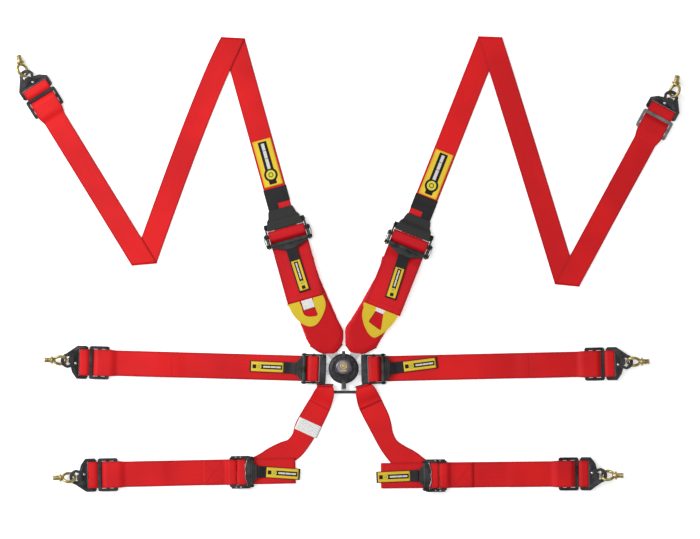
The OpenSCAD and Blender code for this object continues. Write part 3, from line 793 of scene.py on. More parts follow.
RING_R, WIRE_R, SHANK_R, THREAD = 12.0, 3.0, 5.45, 1.27
MOUNTS = {m["name"]: m for m in frame["record"]["mounts"]}
for name in ARMS:
    turn_joint = JOINTS[f"{name}_eye_turn"]
    centre = Vector(turn_joint["pos_m"]) / MM
    normal = Vector(turn_joint["axis"]).normalized()
    shank = Vector(MOUNTS[f"{name}_anchor_bolt"]["axis"]).normalized()
    other = normal.cross(shank)
    ring = tube([centre + (shank * x + other * y) * RING_R for x, y in ngon(1, 48)], WIRE_R, 14, closed=True)
    place = along(centre, shank)
    neck = lathed([(0, 10.6), (4.4, 10.6), (5.2, 13.0), (5.6, 14.4), (8.0, 14.7), (8.3, 16.2), (8.0, 17.8),
                   (6.2, 18.3), (5.7, 19.4), (0, 19.4)], place, 40)
    body = f"{name}_eye_bolt"
    forging = remeshed(merge(f"{body}_ring", [ring, neck], MAT["zinc"]), 0.55)
    attach(forging, body)
    # the thread: a helix of rows with a V profile that fades out at both ends
    rows, sides = 62, 36
    verts, faces = [], []
    for i in range(rows + 1):
        z = 18.4 + 12.5 * i / rows
        for k in range(sides):
            turn = z / THREAD - k / sides
            depth = abs((turn % 1.0) * 2 - 1)
            fade = min(1.0, max(0.0, (z - 19.0) / 1.0)) * min(1.0, max(0.0, (30.9 - z) / 0.8))
            r = SHANK_R - 0.75 * depth * fade - (0.9 if i == rows else 0.0)
            a = 2 * math.pi * k / sides
            verts.append(place @ Vector((r * math.cos(a), r * math.sin(a), z)))
    for i in range(rows):
        faces += [(i * sides + k, i * sides + (k + 1) % sides, (i + 1) * sides + (k + 1) % sides,
                   (i + 1) * sides + k) for k in range(sides)]
    faces += [list(range(sides))[::-1], [rows * sides + k for k in range(sides)]]
    thread = new_object(f"{body}_thread", verts, faces, MAT["zinc"], None)
    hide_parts(f"{name}_eye_bolt")
    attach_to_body(thread, body)
    hook = hook_matrix(name)
    # 1 where the hook opens to the left of its arm, else -1: the eye's axis leans that way
    axis = turn_joint["axis"]
    mouth = 1 if axis[0] * HOOKS[name].v.x + axis[1] * HOOKS[name].v.y > 0 else -1
    mouth *= 1 if normal.z > 0 else -1
    turned(f"{name}_hook_rivet", [(0, 3.9), (2.6, 3.9), (2.7, 4.4), (2.2, 5.0), (1.1, 5.3), (0, 5.4)],
           hook @ Matrix.Translation((20.5, 2.0 * mouth, 0)), MAT["steel"], f"{name}_hook", 32)
    # dark latch flap over the inner part of the hook's eye
    flap = [(24.5, -10.2), (24.5, 3.4), (31.5, 3.6), (35.6, 0.4), (34.6, -3.7), (35.4, -8.2), (31, -11.2)]
    flap = round_corners([(u, v * mouth) for u, v in flap], 2.5)
    latch = plate(f"{name}_hook_latch_flap", Arm(0, 0, 0), flap, 3.3, 4.3, MAT["cam"], 0.4)
    attach(carried(latch, hook), f"{name}_hook")

# ---- Adjusters ----

PLATE_T = 3.0


def side_matrix(arm, v):
    """Local x along u, local y up, local z across."""
    p = arm.at(0, v, 0)
    return Matrix(((arm.u.x, 0, arm.v.x, p.x), (arm.u.y, 0, arm.v.y, p.y), (0, 1, 0, 0), (0, 0, 0, 1)))


def inside(name):
    """Half the width between an adjuster's side plates."""
    return (74 if "shoulder" in name else WEB_W) / 2 + 0.8


def upright(name, arm, v, outline, thick, mat, edge):
    """A plate that stands across v, its outline in (u, z)."""
    return carried(plate(name, Arm(0, 0, 0), outline, -thick / 2, thick / 2, mat, edge), side_matrix(arm, v))


for name in ARMS:
    arm, z = TABS[name]
    wide = "shoulder" in name
    lap = "lap" in name
    leg = "leg" in name
    parent = "buckle" if name == "left_lap" else name
    inner = inside(name)
    out_v = inner + PLATE_T
    outline = round_corners([(-24, z + 1), (22, z + 1), (24, z + 4), (24, z + 9.5), (19, z + 11.5),
                             (-8, z + 11.5), (-24, z + 8.5)], 2.2)
    parts = [upright(f"side{s}", arm, s * (inner + PLATE_T / 2), outline, PLATE_T, MAT["black"], 0.6)
             for s in (-1, 1)]
    low, high = (z + 0.6, z + 9.6) if lap else (1.8, 8.0)
    back = round_corners([(-24, low), (-12.6, low), (-12.6, high), (-24, high)], 3.4)
    parts.append(upright("back", arm, 0, back, 2 * out_v - 1, MAT["black"], 1.2))
    if lap:
        lip = round_corners([(-24.6, -inner - 1.6), (-11.6, -out_v - 0.4), (-11.6, out_v + 0.4),
                             (-24.6, inner + 1.6)], 4)
        parts.append(plate("lip", arm, lip, z + 6.0, z + 10.2, MAT["black"], 1.3))
    parts.append(turned("roller", [(0, -inner - 0.2), (4, -inner - 0.2), (4, inner + 0.2), (0, inner + 0.2)],
                        along(arm.at(0, 0, z + ROLLER_RISE), arm.v), MAT["black"], steps=32))
    if leg:
        for s in (-1, 1):
            flange = [(-21, inner - 0.3), (-21, out_v + 3.2), (15, out_v + 3.2), (19, out_v + 0.5),
                      (19, inner - 0.3)]
            flange = round_corners([(u, s * v) for u, v in flange], 1.5)
            parts.append(plate(f"flange{s}", arm, flange, z + 10.6, z + 11.8, MAT["black"], 0.4))
        half = out_v - 0.5
        keeper = [(11.5, half), (6.5, 9), (7.5, 0), (6.5, -9), (11.5, -half), (17, -half), (17, half)]
        keeper = round_corners(keeper, 2.5)
        parts.append(plate("keeper", arm, keeper, z + 10.9, z + 11.9, MAT["black"], 0.35))
    if wide:
        for s in (-1, 1):
            knob = [(0, -1), (2.6, -1), (2.6, 1.6), (4.2, 2.0), (4.6, 3.6), (4.0, 5.4), (2.4, 6.0), (0, 6.0)]
            parts.append(turned(f"knob{s}", knob, along(arm.at(0, s * out_v, z + ROLLER_RISE), arm.v * s),
                                MAT["black"], steps=28))
            ear = round_corners([(-6, z + 1.4), (24, z + 3.2), (25, z + 9.6), (18, z + 11), (-6, z + 10)], 2)
            parts.append(upright(f"ear{s}", arm, s * (out_v + 1.6), ear, 2.4, MAT["black"], 0.5))
    shell = joined(f"{name}_adjuster_frame", parts, parent)
    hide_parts(f"{name}_adjuster")
    # bright pin ends, and the spring clips or springs
    heads = []
    for s in (-1, 1):
        for u, head_z in ((0, z + ROLLER_RISE), (-18, (low + high) / 2 + 0.4)):
            if wide and u == 0:
                continue
            heads.append(lathed([(0, -0.5), (2.1, -0.5), (2.1, 0.7), (1.5, 1.2), (0, 1.3)],
                                along(arm.at(u, s * out_v, head_z), arm.v * s), 24))
        if wide:
            clip = [arm.at(u, s * (out_v + v), z + rise)
                    for u, v, rise in ((2, 4, 9), (5, 6, 8), (15, 5.4, 8), (18, 3, 9))]
            heads.append(tube(rounded(clip, 2), 1.15, 8))
        if leg:
            for u in (-11, -2):
                heads.append(lathed([(0, -0.5), (1.7, -0.5), (1.7, 0.35), (1.1, 0.8), (0, 0.9)],
                                    Matrix.Translation(arm.at(u, s * (out_v + 0.4), z + 11.8)), 20))
    if leg:
        edge_line = [(11.3, out_v - 1), (8.6, 17), (6.3, 9), (6.6, 4), (7.9, 0), (6.6, -4), (6.3, -9),
                     (8.6, -17), (11.3, -out_v + 1)]
        heads.append(tube(rounded([arm.at(u, v, z + 12.1) for u, v in edge_line], 3), 0.55, 8))
    merge(f"{name}_adjuster_pins", heads, MAT["steel"], parent)

# ---- Release tabs: cam bar, cover, black tab and label ----

# degrees that each tab lies askew, its end along the strap, its height, and which end its emblem is at
TURN = {"left_lap": -1, "right_lap": 6, "left_leg": -5, "right_leg": 2,
        "left_shoulder": 2, "right_shoulder": 4}
TAB_END = {"lap": 125, "leg": 114, "shoulder": 121}
TAB_Z = {"lap": 2.8, "leg": 4.1, "shoulder": 11.9}
EMBLEM_FAR = {"left_lap": True, "right_lap": False, "left_leg": False, "right_leg": True,
              "left_shoulder": True, "right_shoulder": True}
TAB_W = 22.4


def strip(name, arm, path, width, mat, body, thick, step=4.0, seed=1.0):
    return webbing(name, path_rows(arm, path, width, step), mat, body, thick, seed)


def label(name, arm, u0, u1, width, z, body, emblem_far, seat=0.27):
    """A woven yellow label with a black panel, a plain white bar and a plain round emblem."""
    strip(f"{name}_label", arm, [(u0, z), (u1, z)], width, MAT["label"], body, 0.7, 3.0, 3.0)
    top = z + 0.33
    length = u1 - u0
    along_u = (lambda t: u1 - t * length) if emblem_far else (lambda t: u0 + t * length)

    emblem_u = along_u(0.24)

    def patch(piece, a, b, half, rise, mat, radius=1.0):
        ends = sorted((along_u(a), along_u(b)))
        return plate(piece, arm, round_corners(block(*ends, half), radius), top, top + rise, mat, 0.08)

    def disc(piece, share, sides, low, high, mat, holes=()):
        outline = ngon(width * share, sides, 0, emblem_u, 0)
        return plate(piece, arm, outline, top + low, top + high, mat, 0.06, holes)

    joined(f"{name}_label_panel", [
        patch("panel", 0.30, 0.96, width * 0.23, 0.22, MAT["label_black"]),
        patch("square", 0.04, 0.15, width * 0.2, 0.22, MAT["label_black"]),
        disc("seat", seat, 40, 0, 0.16, MAT["label_black"])], body)
    joined(f"{name}_label_emblem", [
        disc("emblem", 0.25, 40, 0.1, 0.34, MAT["emblem"], [ngon(width * 0.13, 28, 0, emblem_u, 0)]),
        disc("eye", 0.09, 20, 0.1, 0.34, MAT["emblem"])], body)
    joined(f"{name}_label_bars", [
        patch(f"bar{k}", a, b, width * 0.085, 0.36, MAT["label_white"], 0.5)
        for k, (a, b) in enumerate([(0.37, 0.59), (0.60, 0.76), (0.77, 0.92)])], body)
    border = box_lines(arm, u0 + 1.6, u1 - 1.6, width / 2 - 1.6, z + 0.4, cross=False)
    stitches(f"{name}_label_stitches", border, MAT["thread_yellow"], body, 2.8, 1.9, 0.35)


MAT["emblem"] = cloth("emblem_yellow", (0.70, 0.62, 0.06), (0.48, 0.42, 0.04), pitch=0.5, wrinkle=0.05)

for name in ARMS:
    arm, z = TABS[name]
    kind = name.split("_")[1]
    body = f"{name}_tab"
    inner = inside(name)
    cam_z = z + CAM_RISE
    bar = [(0, -inner + 0.5), (3.6, -inner + 0.5), (4.2, -inner + 1.2), (4.2, inner - 1.2),
           (3.6, inner - 0.5), (0, inner - 0.5)]
    parts = [turned("bar", bar, along(arm.at(CAM_U, 0, cam_z), arm.v), MAT["cam"], steps=40)]
    for s in (-1, 1):
        length = 8.6 if kind == "shoulder" else 4.4
        pin = [(0, -1), (2, -1), (2, length - 3), (3.6, length - 2.6), (3.9, length - 1.2), (3.0, length),
               (0, length)]
        parts.append(turned(f"pin{s}", pin, along(arm.at(CAM_U, s * inner, cam_z), arm.v * s), MAT["cam"],
                            steps=28))
    reach = 11.5 if kind == "leg" else 14.5
    if kind == "leg":
        edge_v, mid_v, mid_u = inner - 5.5, inner - 7, 3.5
    else:
        edge_v, mid_v, mid_u = inner - 1.4, inner - 1.6, 5
    cover = round_corners([(0, -edge_v), (mid_u, -mid_v), (reach, -TAB_W / 2 - 2), (reach, TAB_W / 2 + 2),
                           (mid_u, mid_v), (0, edge_v)], 2.5)
    shifted = arm.turned(CAM_U, 0, 0)
    parts.append(plate("cover", shifted, cover, cam_z - 1.2, cam_z + 1.9, MAT["cam"], 1.1))
    ridge = round_corners([(4.2, -mid_v + 3), (6.2, -mid_v + 4), (6.2, mid_v - 4), (4.2, mid_v - 3)], 1)
    parts.append(plate("ridge", shifted, ridge, cam_z + 1.4, cam_z + 2.6, MAT["cam"], 0.5))
    joined(f"{name}_cam_cover", parts, body)
    tab_z = TAB_Z[kind]
    pull = arm.turned(CAM_U + 12, 0, TURN[name])
    end = TAB_END[kind] - CAM_U - 12
    lift = cam_z + (1.4 if tab_z > cam_z else -0.4)
    path = bend([(0, cam_z), (5, lift), (14, tab_z), (end, tab_z)], 5)
    tab = strip(f"{name}_pull_tab", pull, path, TAB_W, MAT["black_web"], body, WEB_T, 4.0, 5.0)
    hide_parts(f"{name}_tab")
    label_w = {"shoulder": 17.6, "lap": 19.4, "leg": 19.8}[kind]
    label_start = end - (63 if kind == "shoulder" else 66)
    label(f"{name}_tab", pull, label_start, end - 3.0, label_w, tab_z + 1.1, body, EMBLEM_FAR[name])
    stitches(f"{name}_pull_tab_stitches", box_lines(pull, 16, end - 66, TAB_W / 2 - 3, tab_z + 0.75),
             MAT["thread_black"], body)

# ---- Lap webbing ----

def roll(z, start, shift):
    """Webbing over a roller: flat on top, with a full round on the far side."""
    return [(start, z)] + arc(shift, z + ROLLER_RISE, 5, 270, 90, 20) \
        + bend([(2, z + 10), (7.5, z + 9.8), (14, z + 3.2), (17, z + 1.8)], 3)


# end of the webbing's tail along each arm; below, t is that place and s is the slide's
TAILS = {"left_lap": 266, "right_lap": 291, "left_leg": 150, "right_leg": 150}
for name in ("left_lap", "right_lap"):
    arm, z = TABS[name]
    body = "buckle" if name == "left_lap" else name
    s = (HOOKS[name].o - arm.o).length - HOOK_BAR
    t = TAILS[name]
    path = roll(z, 20, -5.2)[::-1]
    path += bend([(20, z), (t - 150, z), (t - 90, z + 0.5), (t - 30, z + 0.1), (t - 14, z),
                  (t + 2, LAYER_Z + 0.5), (t + 40, LAYER_Z + 2.6), (t + 85, LAYER_Z + 0.4),
                  (s - 22, LAYER_Z)], 14)
    path += anchor_path(s, t)
    strap = webbing(f"{name}_webbing", snug(path_rows(arm, path, WEB_W, 5.0), arm, s), MAT["web"], body,
                    WEB_T, 2.0)
    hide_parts(f"{name}_strap")
    stitches(f"{name}_tail_stitches", [across(arm, t + 12, 22, LAYER_Z + 2.05)], MAT["thread"], body)

# ---- Leg webbing ----

# points (x, y, half width) along the middle of each thigh strap, from the leg bar
THIGHS = {
    "left_leg": [
        (-36.5, -35, 15.5), (-37.5, -46, 19.5), (-44.8, -65.8, 22.2), (-53.7, -83, 23.7),
        (-65, -103.8, 24.6), (-73.8, -118.6, 23.7), (-82.5, -138, 20.5), (-97, -156, 21),
        (-115, -166.5, 24), (-134, -177.5, 25.5), (-152, -188.5, 25), (-172, -197.8, 25)],
    "right_leg": [
        (40, -35, 16), (43.5, -46, 20.5), (50, -64, 23.5), (55.3, -76, 24), (66.7, -99, 23.5),
        (73.7, -117, 21.5), (79.5, -133, 19), (90, -152, 18.5), (107, -169, 22), (126, -183, 25),
        (152, -201.5, 25)],
}


def flipped(rows):
    return [(c, -a, -n, h) for c, a, n, h in rows]


def raised(rows, heights):
    """Rows lifted to a height read from (run, z) points, their normals tilted to suit."""
    run, centres = 0.0, []
    for i, (c, a, n, h) in enumerate(rows):
        run += (c - rows[i - 1][0]).length if i else 0.0
        centres.append(Vector((c.x, c.y, profile(heights, run))))
    out = []
    for i, (c, a, n, h) in enumerate(rows):
        t = centres[min(i + 1, len(rows) - 1)] - centres[max(i - 1, 0)]
        out.append((centres[i], a, t.cross(a).normalized(), h))
    return out


def turn_back(row, high, low, grow=0.0, first=90, last=-90):
    """Rows round the end of a loop, from its upper layer to its lower one."""
    c, a, n, h = row
    r, out = (high - low) / 2, []
    back = a.cross(Vector((0, 0, 1))).normalized() * -1
    for k in range(11):
        phi = math.radians(first + (last - first) * k / 10)
        ray = back * math.cos(phi) + Vector((0, 0, math.sin(phi)))
        out.append((Vector((c.x, c.y, (high + low) / 2)) + ray * (r + grow), a, ray, h + grow))
    return out


for name in ("left_leg", "right_leg"):
    arm, z = TABS[name]
    out = arm.turned(0, 0, 180)
    line = THIGHS[name] + [(arm.o.x, arm.o.y, 25)]
    lower = flat_rows(line, FLOOR_Z)
    upper = raised([r for r in lower if r[0].y > -75],
                   [(0, 8.3), (11, 8.9), (17, 7.6), (32, LAYER_Z), (99, LAYER_Z)])
    rows = upper[::-1] + turn_back(lower[0], 8.3, FLOOR_Z) + [(c, a, -n, h) for c, a, n, h in lower[1:-1]]
    rows += [(c, -a, n, h) for c, a, n, h in
             path_rows(arm, roll(FLOOR_Z, 3, -3.8) + bend([(22, FLOOR_Z + 1.6), (40, LAYER_Z + 0.3),
                                                           (105, LAYER_Z)], 6), WEB_W, 4.0)]
    strap = webbing(f"{name}_thigh_webbing", rows, MAT["web"], name, seed=4.0)
    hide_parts(f"{name}_strap")
    # a thin dark strip of the cover cloth laid over the loop's fold at the leg bar: painted shade along the fold
    webbing(f"{name}_bar_fold_shade", turn_back(lower[0], 8.3, FLOOR_Z, 0.95, 56, -60), MAT["cover"], name,
            0.5, 8.0)
    last = upper[-1]
    ahead = last[1].cross(Vector((0, 0, 1))).normalized()
    rows_of_stitches = [[last[0] + UP * 0.78 - ahead * k + last[1] * (last[3] - 3) * q for q in (-1, 1)]
                        for k in (3, 7)]
    stitches(f"{name}_loop_stitches", rows_of_stitches, MAT["thread"], name)
    s = (HOOKS[name].o - arm.o).length - HOOK_BAR
    t = TAILS[name]
    path = sewn_loop(76) + bend([(18, FLOOR_Z), (95, FLOOR_Z), (t - 40, FLOOR_Z), (t - 10, FLOOR_Z),
                                 (t + 4, LAYER_Z), (s - 22, LAYER_Z)], 10) + anchor_path(s, t)
    band = webbing(f"{name}_anchor_webbing", snug(path_rows(out, path, WEB_W, 5.0), out, s), MAT["web"], name,
                   WEB_T, 6.0)
    stitches(f"{name}_anchor_stitches", box_lines(out, 38, 72, 21, LAYER_Z + 0.78), MAT["thread"], name)
    stitches(f"{name}_tail_stitches", [across(arm, u, 22, LAYER_Z + 0.8) for u in (98, 101)], MAT["thread"],
             name)

# ---- Shoulder webbing ----

SLANT = 60.0       # length over which rows turn to a crease
UPPER_HALF = 22.4  # half width of the upper shoulder webbing
COVER_HALF = 36.3  # half width of the charcoal cover's wide end
BAND_HALF = 23.2   # half width of the black band
BAND_Z = 3.75      # centre line of the black band over the sewn end


def slanted(arm, u, z, half, crease_at, k, sense):
    """A row whose ends lean to meet a crease line with direction k; sense is 1 where the crease is ahead."""
    t = max(0.0, min(1.0, 1 - sense * (crease_at - u) / SLANT))
    lean = k.dot(arm.u) / k.dot(arm.v)
    return (arm.at(u, 0, z), arm.v + arm.u * (lean * t), UP, half)


def level(arm, u, z, half, v=0.0):
    """A row that lies level, square to an arm."""
    return (arm.at(u, v, z), arm.v, UP, half)


def steps(a, b, step=5.0):
    n = max(1, math.ceil((b - a) / step))
    return [a + (b - a) * k / n for k in range(n + 1)]


# outlines (x, y) of the padded sleeves
SLEEVES = {
    "left": [
        (-45.8, 30.0), (-18.3, 27.2), (-2.2, 47.0), (0.9, 72.8), (-21, 121.7), (-42.7, 172.5), (-60, 224),
        (-134, 210), (-113, 143), (-92, 100), (-85.4, 86.3), (-75.2, 58.2), (-66, 44.0)],
    "right": [
        (14.8, 30.0), (38.4, 28.0), (64.8, 41.0), (82.8, 69.6), (104, 107), (129, 149), (148, 193),
        (76, 223), (63.7, 187), (33.7, 130.8), (4.4, 83.6), (2.0, 76.4), (3.6, 46.4)],
}
TAIL_END = {"left": 137, "right": 146}  # end of the lower webbing's tail along its arm
BOW = {"left": -6.5, "right": 1.0}     # sideways bow of the middle run
# outlines (u, v) of the pull loops and of the windows in them, from the tail's end
PULL_OUTER = {
    "left": [
        (-1.6, 33), (1, 34.6), (14.5, 36), (27, 32), (41, 21.5), (51.5, 9), (53.5, -3), (48, -14.5),
        (36, -25), (20, -32.5), (6, -34.8), (-1.6, -33.5)],
    "right": [
        (-1.6, 32.5), (1, 32.8), (18, 29), (36, 22), (51, 12), (57.5, 4), (54, -8), (47, -17), (37, -26),
        (24, -33.5), (10, -36), (-1.6, -34)],
}
PULL_WINDOW = {
    "left": [
        (-1.0, -11), (12, -11.5), (25, -11.5), (32, -6.5), (35, 2), (36.2, 12), (33, 15), (22, 14),
        (10, 13), (-1.0, 12.5)],
    "right": [
        (-1.0, -10.5), (7, -11.7), (20, -14.5), (30, -16.5), (33, -14), (37, 0), (39, 9.5), (36, 11),
        (22, 8), (7, 4.6), (-1.0, 4)],
}


def smooth_loop(points, fine=4):
    """A closed smooth line through points."""
    n = len(points)
    out = []
    for i in range(n):
        a, b, c, d = (Vector(points[(i + k) % n]) for k in (-1, 0, 1, 2))
        out += [tuple(spline(a, b, c, d, k / fine)) for k in range(fine)]
    return out


def inflate(obj, cap, pressure=4.0, frames=20):
    """Blows the skin up like a stuffed pad, with no point moving further than cap."""
    start = [v.co.copy() for v in obj.data.vertices]
    scene = bpy.context.scene
    m = obj.modifiers.new("Cloth", "CLOTH")
    m.settings.use_pressure = True
    m.settings.uniform_pressure_force = pressure
    m.settings.effector_weights.gravity = 0.0
    m.settings.quality = 4
    m.point_cache.frame_start, m.point_cache.frame_end = 1, frames
    for f in range(1, frames + 1):
        scene.frame_set(f)
    graph = bpy.context.evaluated_depsgraph_get()
    made = bpy.data.meshes.new_from_object(obj.evaluated_get(graph))
    obj.modifiers.remove(m)
    scene.frame_set(1)
    for v, a in zip(made.vertices, start):
        d = v.co - a
        if d.length > cap * MM:
            v.co = a + d.normalized() * cap * MM
    obj.data = made
    return obj


def pad(name, outline, low, high, mat, body):
    """A stuffed flat pad inside an outline."""
    shape = round_corners(outline, 5, 5)
    centre = Vector((sum(p[0] for p in shape), sum(p[1] for p in shape))) / len(shape)
    pull_in = -1.6    # the cloth draws the outline in, so it starts a little outside
    inset = [tuple(Vector(p) + (centre - Vector(p)).normalized() * pull_in) for p in shape]
    obj = plate(name, Arm(0, 0, 0), inset, low + 2.1, high - 2.1, mat, 1.0)
    obj.modifiers.clear()
    remeshed(obj, 2.6, 4)
    obj.data.materials.clear()
    obj.data.materials.append(mat)
    inflate(obj, 2.4)
    for v in obj.data.vertices:
        p = v.co / MM
        soft = noise.noise(Vector((p.x * 0.02, p.y * 0.02, 3.1))) * 0.5
        v.co.z = max(low * MM, min((high + min(soft, 0)) * MM, v.co.z))
    obj.data.polygons.foreach_set("use_smooth", [True] * len(obj.data.polygons))
    sub = obj.modifiers.new("Fine", "SUBSURF")
    sub.levels = sub.render_levels = 1
    return attach(obj, body)


for side, sign in (("left", 1), ("right", -1)):
    body = f"{side}_shoulder"
    arm, z = TABS[body]
    up = arm.turned(0, 0, 180)
    tail = TAIL_END[side]
    sleeve = pad(f"{body}_sleeve_pad", SLEEVES[side], 0.0, 9.0, MAT["sleeve"], body)
    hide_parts(f"{body}_sleeve")
    o = SLEEVES[side]
    # dark piping along the sleeve's lower hem: painted shade along that edge, partly the dark edge of the inner
    # lining
    hem = [o[-1], o[0], o[1], o[2]]
    merge(f"{body}_sleeve_lining_edge_shade", [tube(rounded([(p[0], p[1] + 0.7, 4.4) for p in hem], 8), 1.0, 8)],
                   MAT["lining_edge_shade"], body)

    # lower webbing: out of the sleeve, round the roller and back over the sleeve
    rows = flipped(path_rows(arm, [(60, z), (3, z)], LOWER_W, 5.0))
    rows += flipped(path_rows(arm, roll(z, 2, -3.8) + bend([(22, z + 1.6), (31, z + 2.2), (45, TAIL_Z),
                                                            (tail, TAIL_Z)], 6), LOWER_W, 4.0))
    lower = webbing(f"{body}_lower_webbing", rows, MAT["wide"], body, seed=9.0)
    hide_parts(f"{body}_lower_strap")
    stitches(f"{body}_tail_stitches", [across(arm, tail - u, 34, TAIL_Z + 0.8) for u in (2.2, 11.4)],
             MAT["thread"], body)

    # pull loop and its tag
    ring = arm.turned(tail, 0, 0)
    outer = PULL_OUTER[side]
    window = PULL_WINDOW[side]
    loop = plate(f"{body}_pull_loop", ring, smooth_loop(outer), TAIL_Z - 0.9, TAIL_Z + 0.3, MAT["pull"], 0.5,
                 [smooth_loop(window)], body)
    border = [ring.at(u * 0.93 + 0.5, v * 0.93, TAIL_Z + 0.34) for u, v in outer[2:-2]]
    stitches(f"{body}_pull_loop_stitches", [border], MAT["thread_yellow"], body, 3.4, 2.2, 0.4)
    tag_arm = ring.turned(-1, 1.5 if side == "left" else -3.5, 2.5 * sign)
    tag_w, tag_end = (22, 20) if side == "left" else (18, 9)
    tag_z = TAIL_Z + 0.4
    tag = strip(f"{body}_care_tag", tag_arm, [(-2, tag_z), (tag_end, tag_z)], tag_w, MAT["tag"], body,
                0.4, 3.0, 12.0)

    # upper webbing to the top fold
    c0, k0 = crease(f"{side}_top_fold")
    c1, k1 = crease(f"{side}_bottom_fold")
    length = (c0.xy - up.o.xy).length
    rows = path_rows(up, sewn_loop(66), 2 * UPPER_HALF, 3.0)
    for u in steps(20, length, 5.0)[1:]:
        rows.append(slanted(up, u, FLOOR_Z, UPPER_HALF, length, k0, 1))
    near = webbing(f"{body}_near_webbing", rows, MAT["web"], body, seed=13.0)
    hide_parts(f"{body}_strap_near")

    # charcoal cover over the adjuster's end, and a black band beyond it with a window on one side
    cover = []
    for u in steps(10.5, 49, 2.0):
        zc = profile([(10, z + 9.4), (24, 11.3), (35, 4.9), (60, 4.9)], u)
        half = profile([(10, COVER_HALF), (14, 36.0), (27, 33.0), (37, 27.5), (46, 25.4), (48, 24.2),
                        (49.5, 21.5)], u)
        cover.append(level(up, u, zc, half))
    shroud = webbing(f"{body}_transition_cover", cover, MAT["cover"], body, WEB_T, 14.0)
    band = [level(up, u, BAND_Z, BAND_HALF) for u in steps(38, 47.9, 3.0)]
    band += [level(up, u, BAND_Z, 10.2, sign * 13.0) for u in steps(48.1, 60, 4.0)]
    band += [level(up, u, profile([(60, BAND_Z), (68, 3.7), (80, 2.3), (97, 2.3)], u), BAND_HALF)
             for u in steps(60.2, 90.5, 4.0)]
    ribbon = webbing(f"{body}_transition_band", band, MAT["black_web"], body, 1.2, 14.5)
    hem = [(14, -33.5), (26, -30.5), (36, -25.5), (45, -22.5), (46, 22.5), (36, 25.5), (26, 30.5),
           (14, 33.5)]
    hem_line = [up.at(u, v, profile([(10, z + 10.2), (24, 12.1), (35, 5.7), (60, 5.7)], u)) for u, v in hem]
    stitches(f"{body}_cover_hem", [hem_line], MAT["thread_black"], body)
    stitches(f"{body}_cover_stitches", [across(up, u, 22, 2.95) for u in (83, 88)], MAT["thread_black"],
             body)
    label(f"{body}_strap", up.turned(141 if side == "left" else 139, 0, 0), -46.5, 46.5, 37, FLOOR_Z + 1.15,
          body, False, 0.36)

    # middle and far webbing
    middle = towards(c0, c1)
    span = (c1.xy - c0.xy).length
    rise = [(0, LAYER_Z), (75, LAYER_Z), (150, FLOOR_Z), (9999, FLOOR_Z)]
    rows = []
    for u in steps(0, span, 5.0):
        ahead = u > span / 2
        row = slanted(middle, u, profile(rise, u), UPPER_HALF, span if ahead else 0, k1 if ahead else k0,
                      1 if ahead else -1)
        rows.append((row[0] + middle.v * BOW[side] * math.sin(math.pi * (u / span) ** 0.7), *row[1:]))
    strap = webbing(f"{side}_fold_middle_webbing", rows, MAT["web"], f"{side}_fold_middle", seed=15.0)
    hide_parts(f"{body}_strap_middle")
    hook = HOOKS[body]
    far = towards(c1, hook.o)
    s = (hook.o.xy - c1.xy).length - HOOK_BAR
    rows = [slanted(far, u, profile(rise, u), UPPER_HALF, 0, k1, -1) for u in steps(0, 150, 5.0)]
    path = bend([(155, FLOOR_Z), (s - 110, FLOOR_Z), (s - 85, LAYER_Z), (s - 30, LAYER_Z)], 8)
    rows += path_rows(far, path + anchor_path(s, s - 80), 2 * UPPER_HALF, 5.0)
    rows = snug(rows, far, s - 4)
    strap = webbing(f"{side}_fold_far_webbing", rows, MAT["web"], f"{side}_fold_far", seed=16.0)
    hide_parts(f"{body}_strap_far")

    # the folds themselves
    for place, c, k, before, a, b in (("top", c0, k0, up, body, f"{side}_fold_middle"),
                                      ("bottom", c1, k1, middle, f"{side}_fold_middle", f"{side}_fold_far")):
        lie = k / k.dot(before.v)
        outward = Vector((-k.y, k.x, 0))
        if outward.dot(before.u) < 0:
            outward = -outward
        mid_z, r = (FLOOR_Z + LAYER_Z) / 2, (LAYER_Z - FLOOR_Z) / 2
        rows = []
        for i in range(13):
            phi = math.radians(-90 + 15 * i)
            ray = outward * math.cos(phi) + Vector((0, 0, math.sin(phi)))
            base = Vector((c.x, c.y, mid_z)) + ray * r
            rows.append((base, lie, -ray, UPPER_HALF))
        fold = webbing(f"{side}_{place}_fold_webbing", rows, MAT["web"], None, thick=WEB_T - 0.02, seed=17.0)
        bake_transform(fold)

# white tag on the left thigh
tag_at = Arm(-69.7, -116.1, math.radians(-24.7))
leg_tag = strip("left_leg_care_tag", tag_at, [(-24, 1.8), (24, 1.8)], 25, MAT["tag"], "left_leg",
                0.4, 4.0, 18.0)

# ---- Stage, light and camera ----

floor_mesh = bpy.data.meshes.new("floor")
floor_mesh.from_pydata([(-6, -6, 0), (6, -6, 0), (6, 6, 0), (-6, 6, 0)], [], [(0, 1, 2, 3)])
floor = link("floor", floor_mesh)
floor.location.z = -0.0006
paper, tree, shader = material("paper", 0.9, specular=0.1)
shader.inputs["Base Color"].default_value = (0.93, 0.93, 0.93, 1)
shader.inputs["Emission Color"].default_value = (1, 1, 1, 1)
shader.inputs["Emission Strength"].default_value = 0.38
floor_mesh.materials.append(paper)
floor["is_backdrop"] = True

world = bpy.data.worlds.new("Studio")
bpy.context.scene.world = world
world.use_nodes = True
world.node_tree.nodes["Background"].inputs[0].default_value = (1, 1, 1, 1)
world.node_tree.nodes["Background"].inputs[1].default_value = 0.48


def area_light(name, place, size, power, aim=(0, 0.19, 0)):
    data = bpy.data.lights.new(name, "AREA")
    data.shape = "RECTANGLE"
    data.size, data.size_y = size
    data.energy = power
    obj = link(name, data)
    obj.location = place
    obj.rotation_euler = (Vector(aim) - Vector(place)).to_track_quat("-Z", "Y").to_euler()


area_light("key", (-2.5, 0.9, 1.9), (1.5, 1.5), 100)
area_light("fill", (2.2, -0.6, 2.6), (2.2, 1.6), 7)
area_light("top", (-0.7, 0.3, 3.4), (2.6, 2.0), 27)

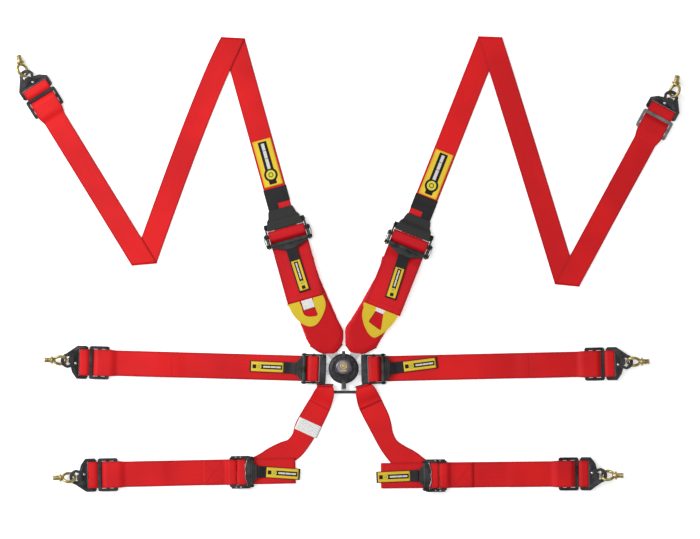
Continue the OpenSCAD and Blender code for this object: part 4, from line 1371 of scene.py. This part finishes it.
VIEW_W = 1.372      # width of floor in view, metres
LENS, SENSOR = 120.0, 36.0
camera_data = bpy.data.cameras.new("Camera")
camera_data.lens = LENS
camera_data.sensor_width = SENSOR
camera = link("Camera", camera_data)
camera.location = (0.0125, 0.194, VIEW_W * LENS / SENSOR)
bpy.context.scene.camera = camera
bpy.context.scene.view_settings.view_transform = "Standard"

low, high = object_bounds()
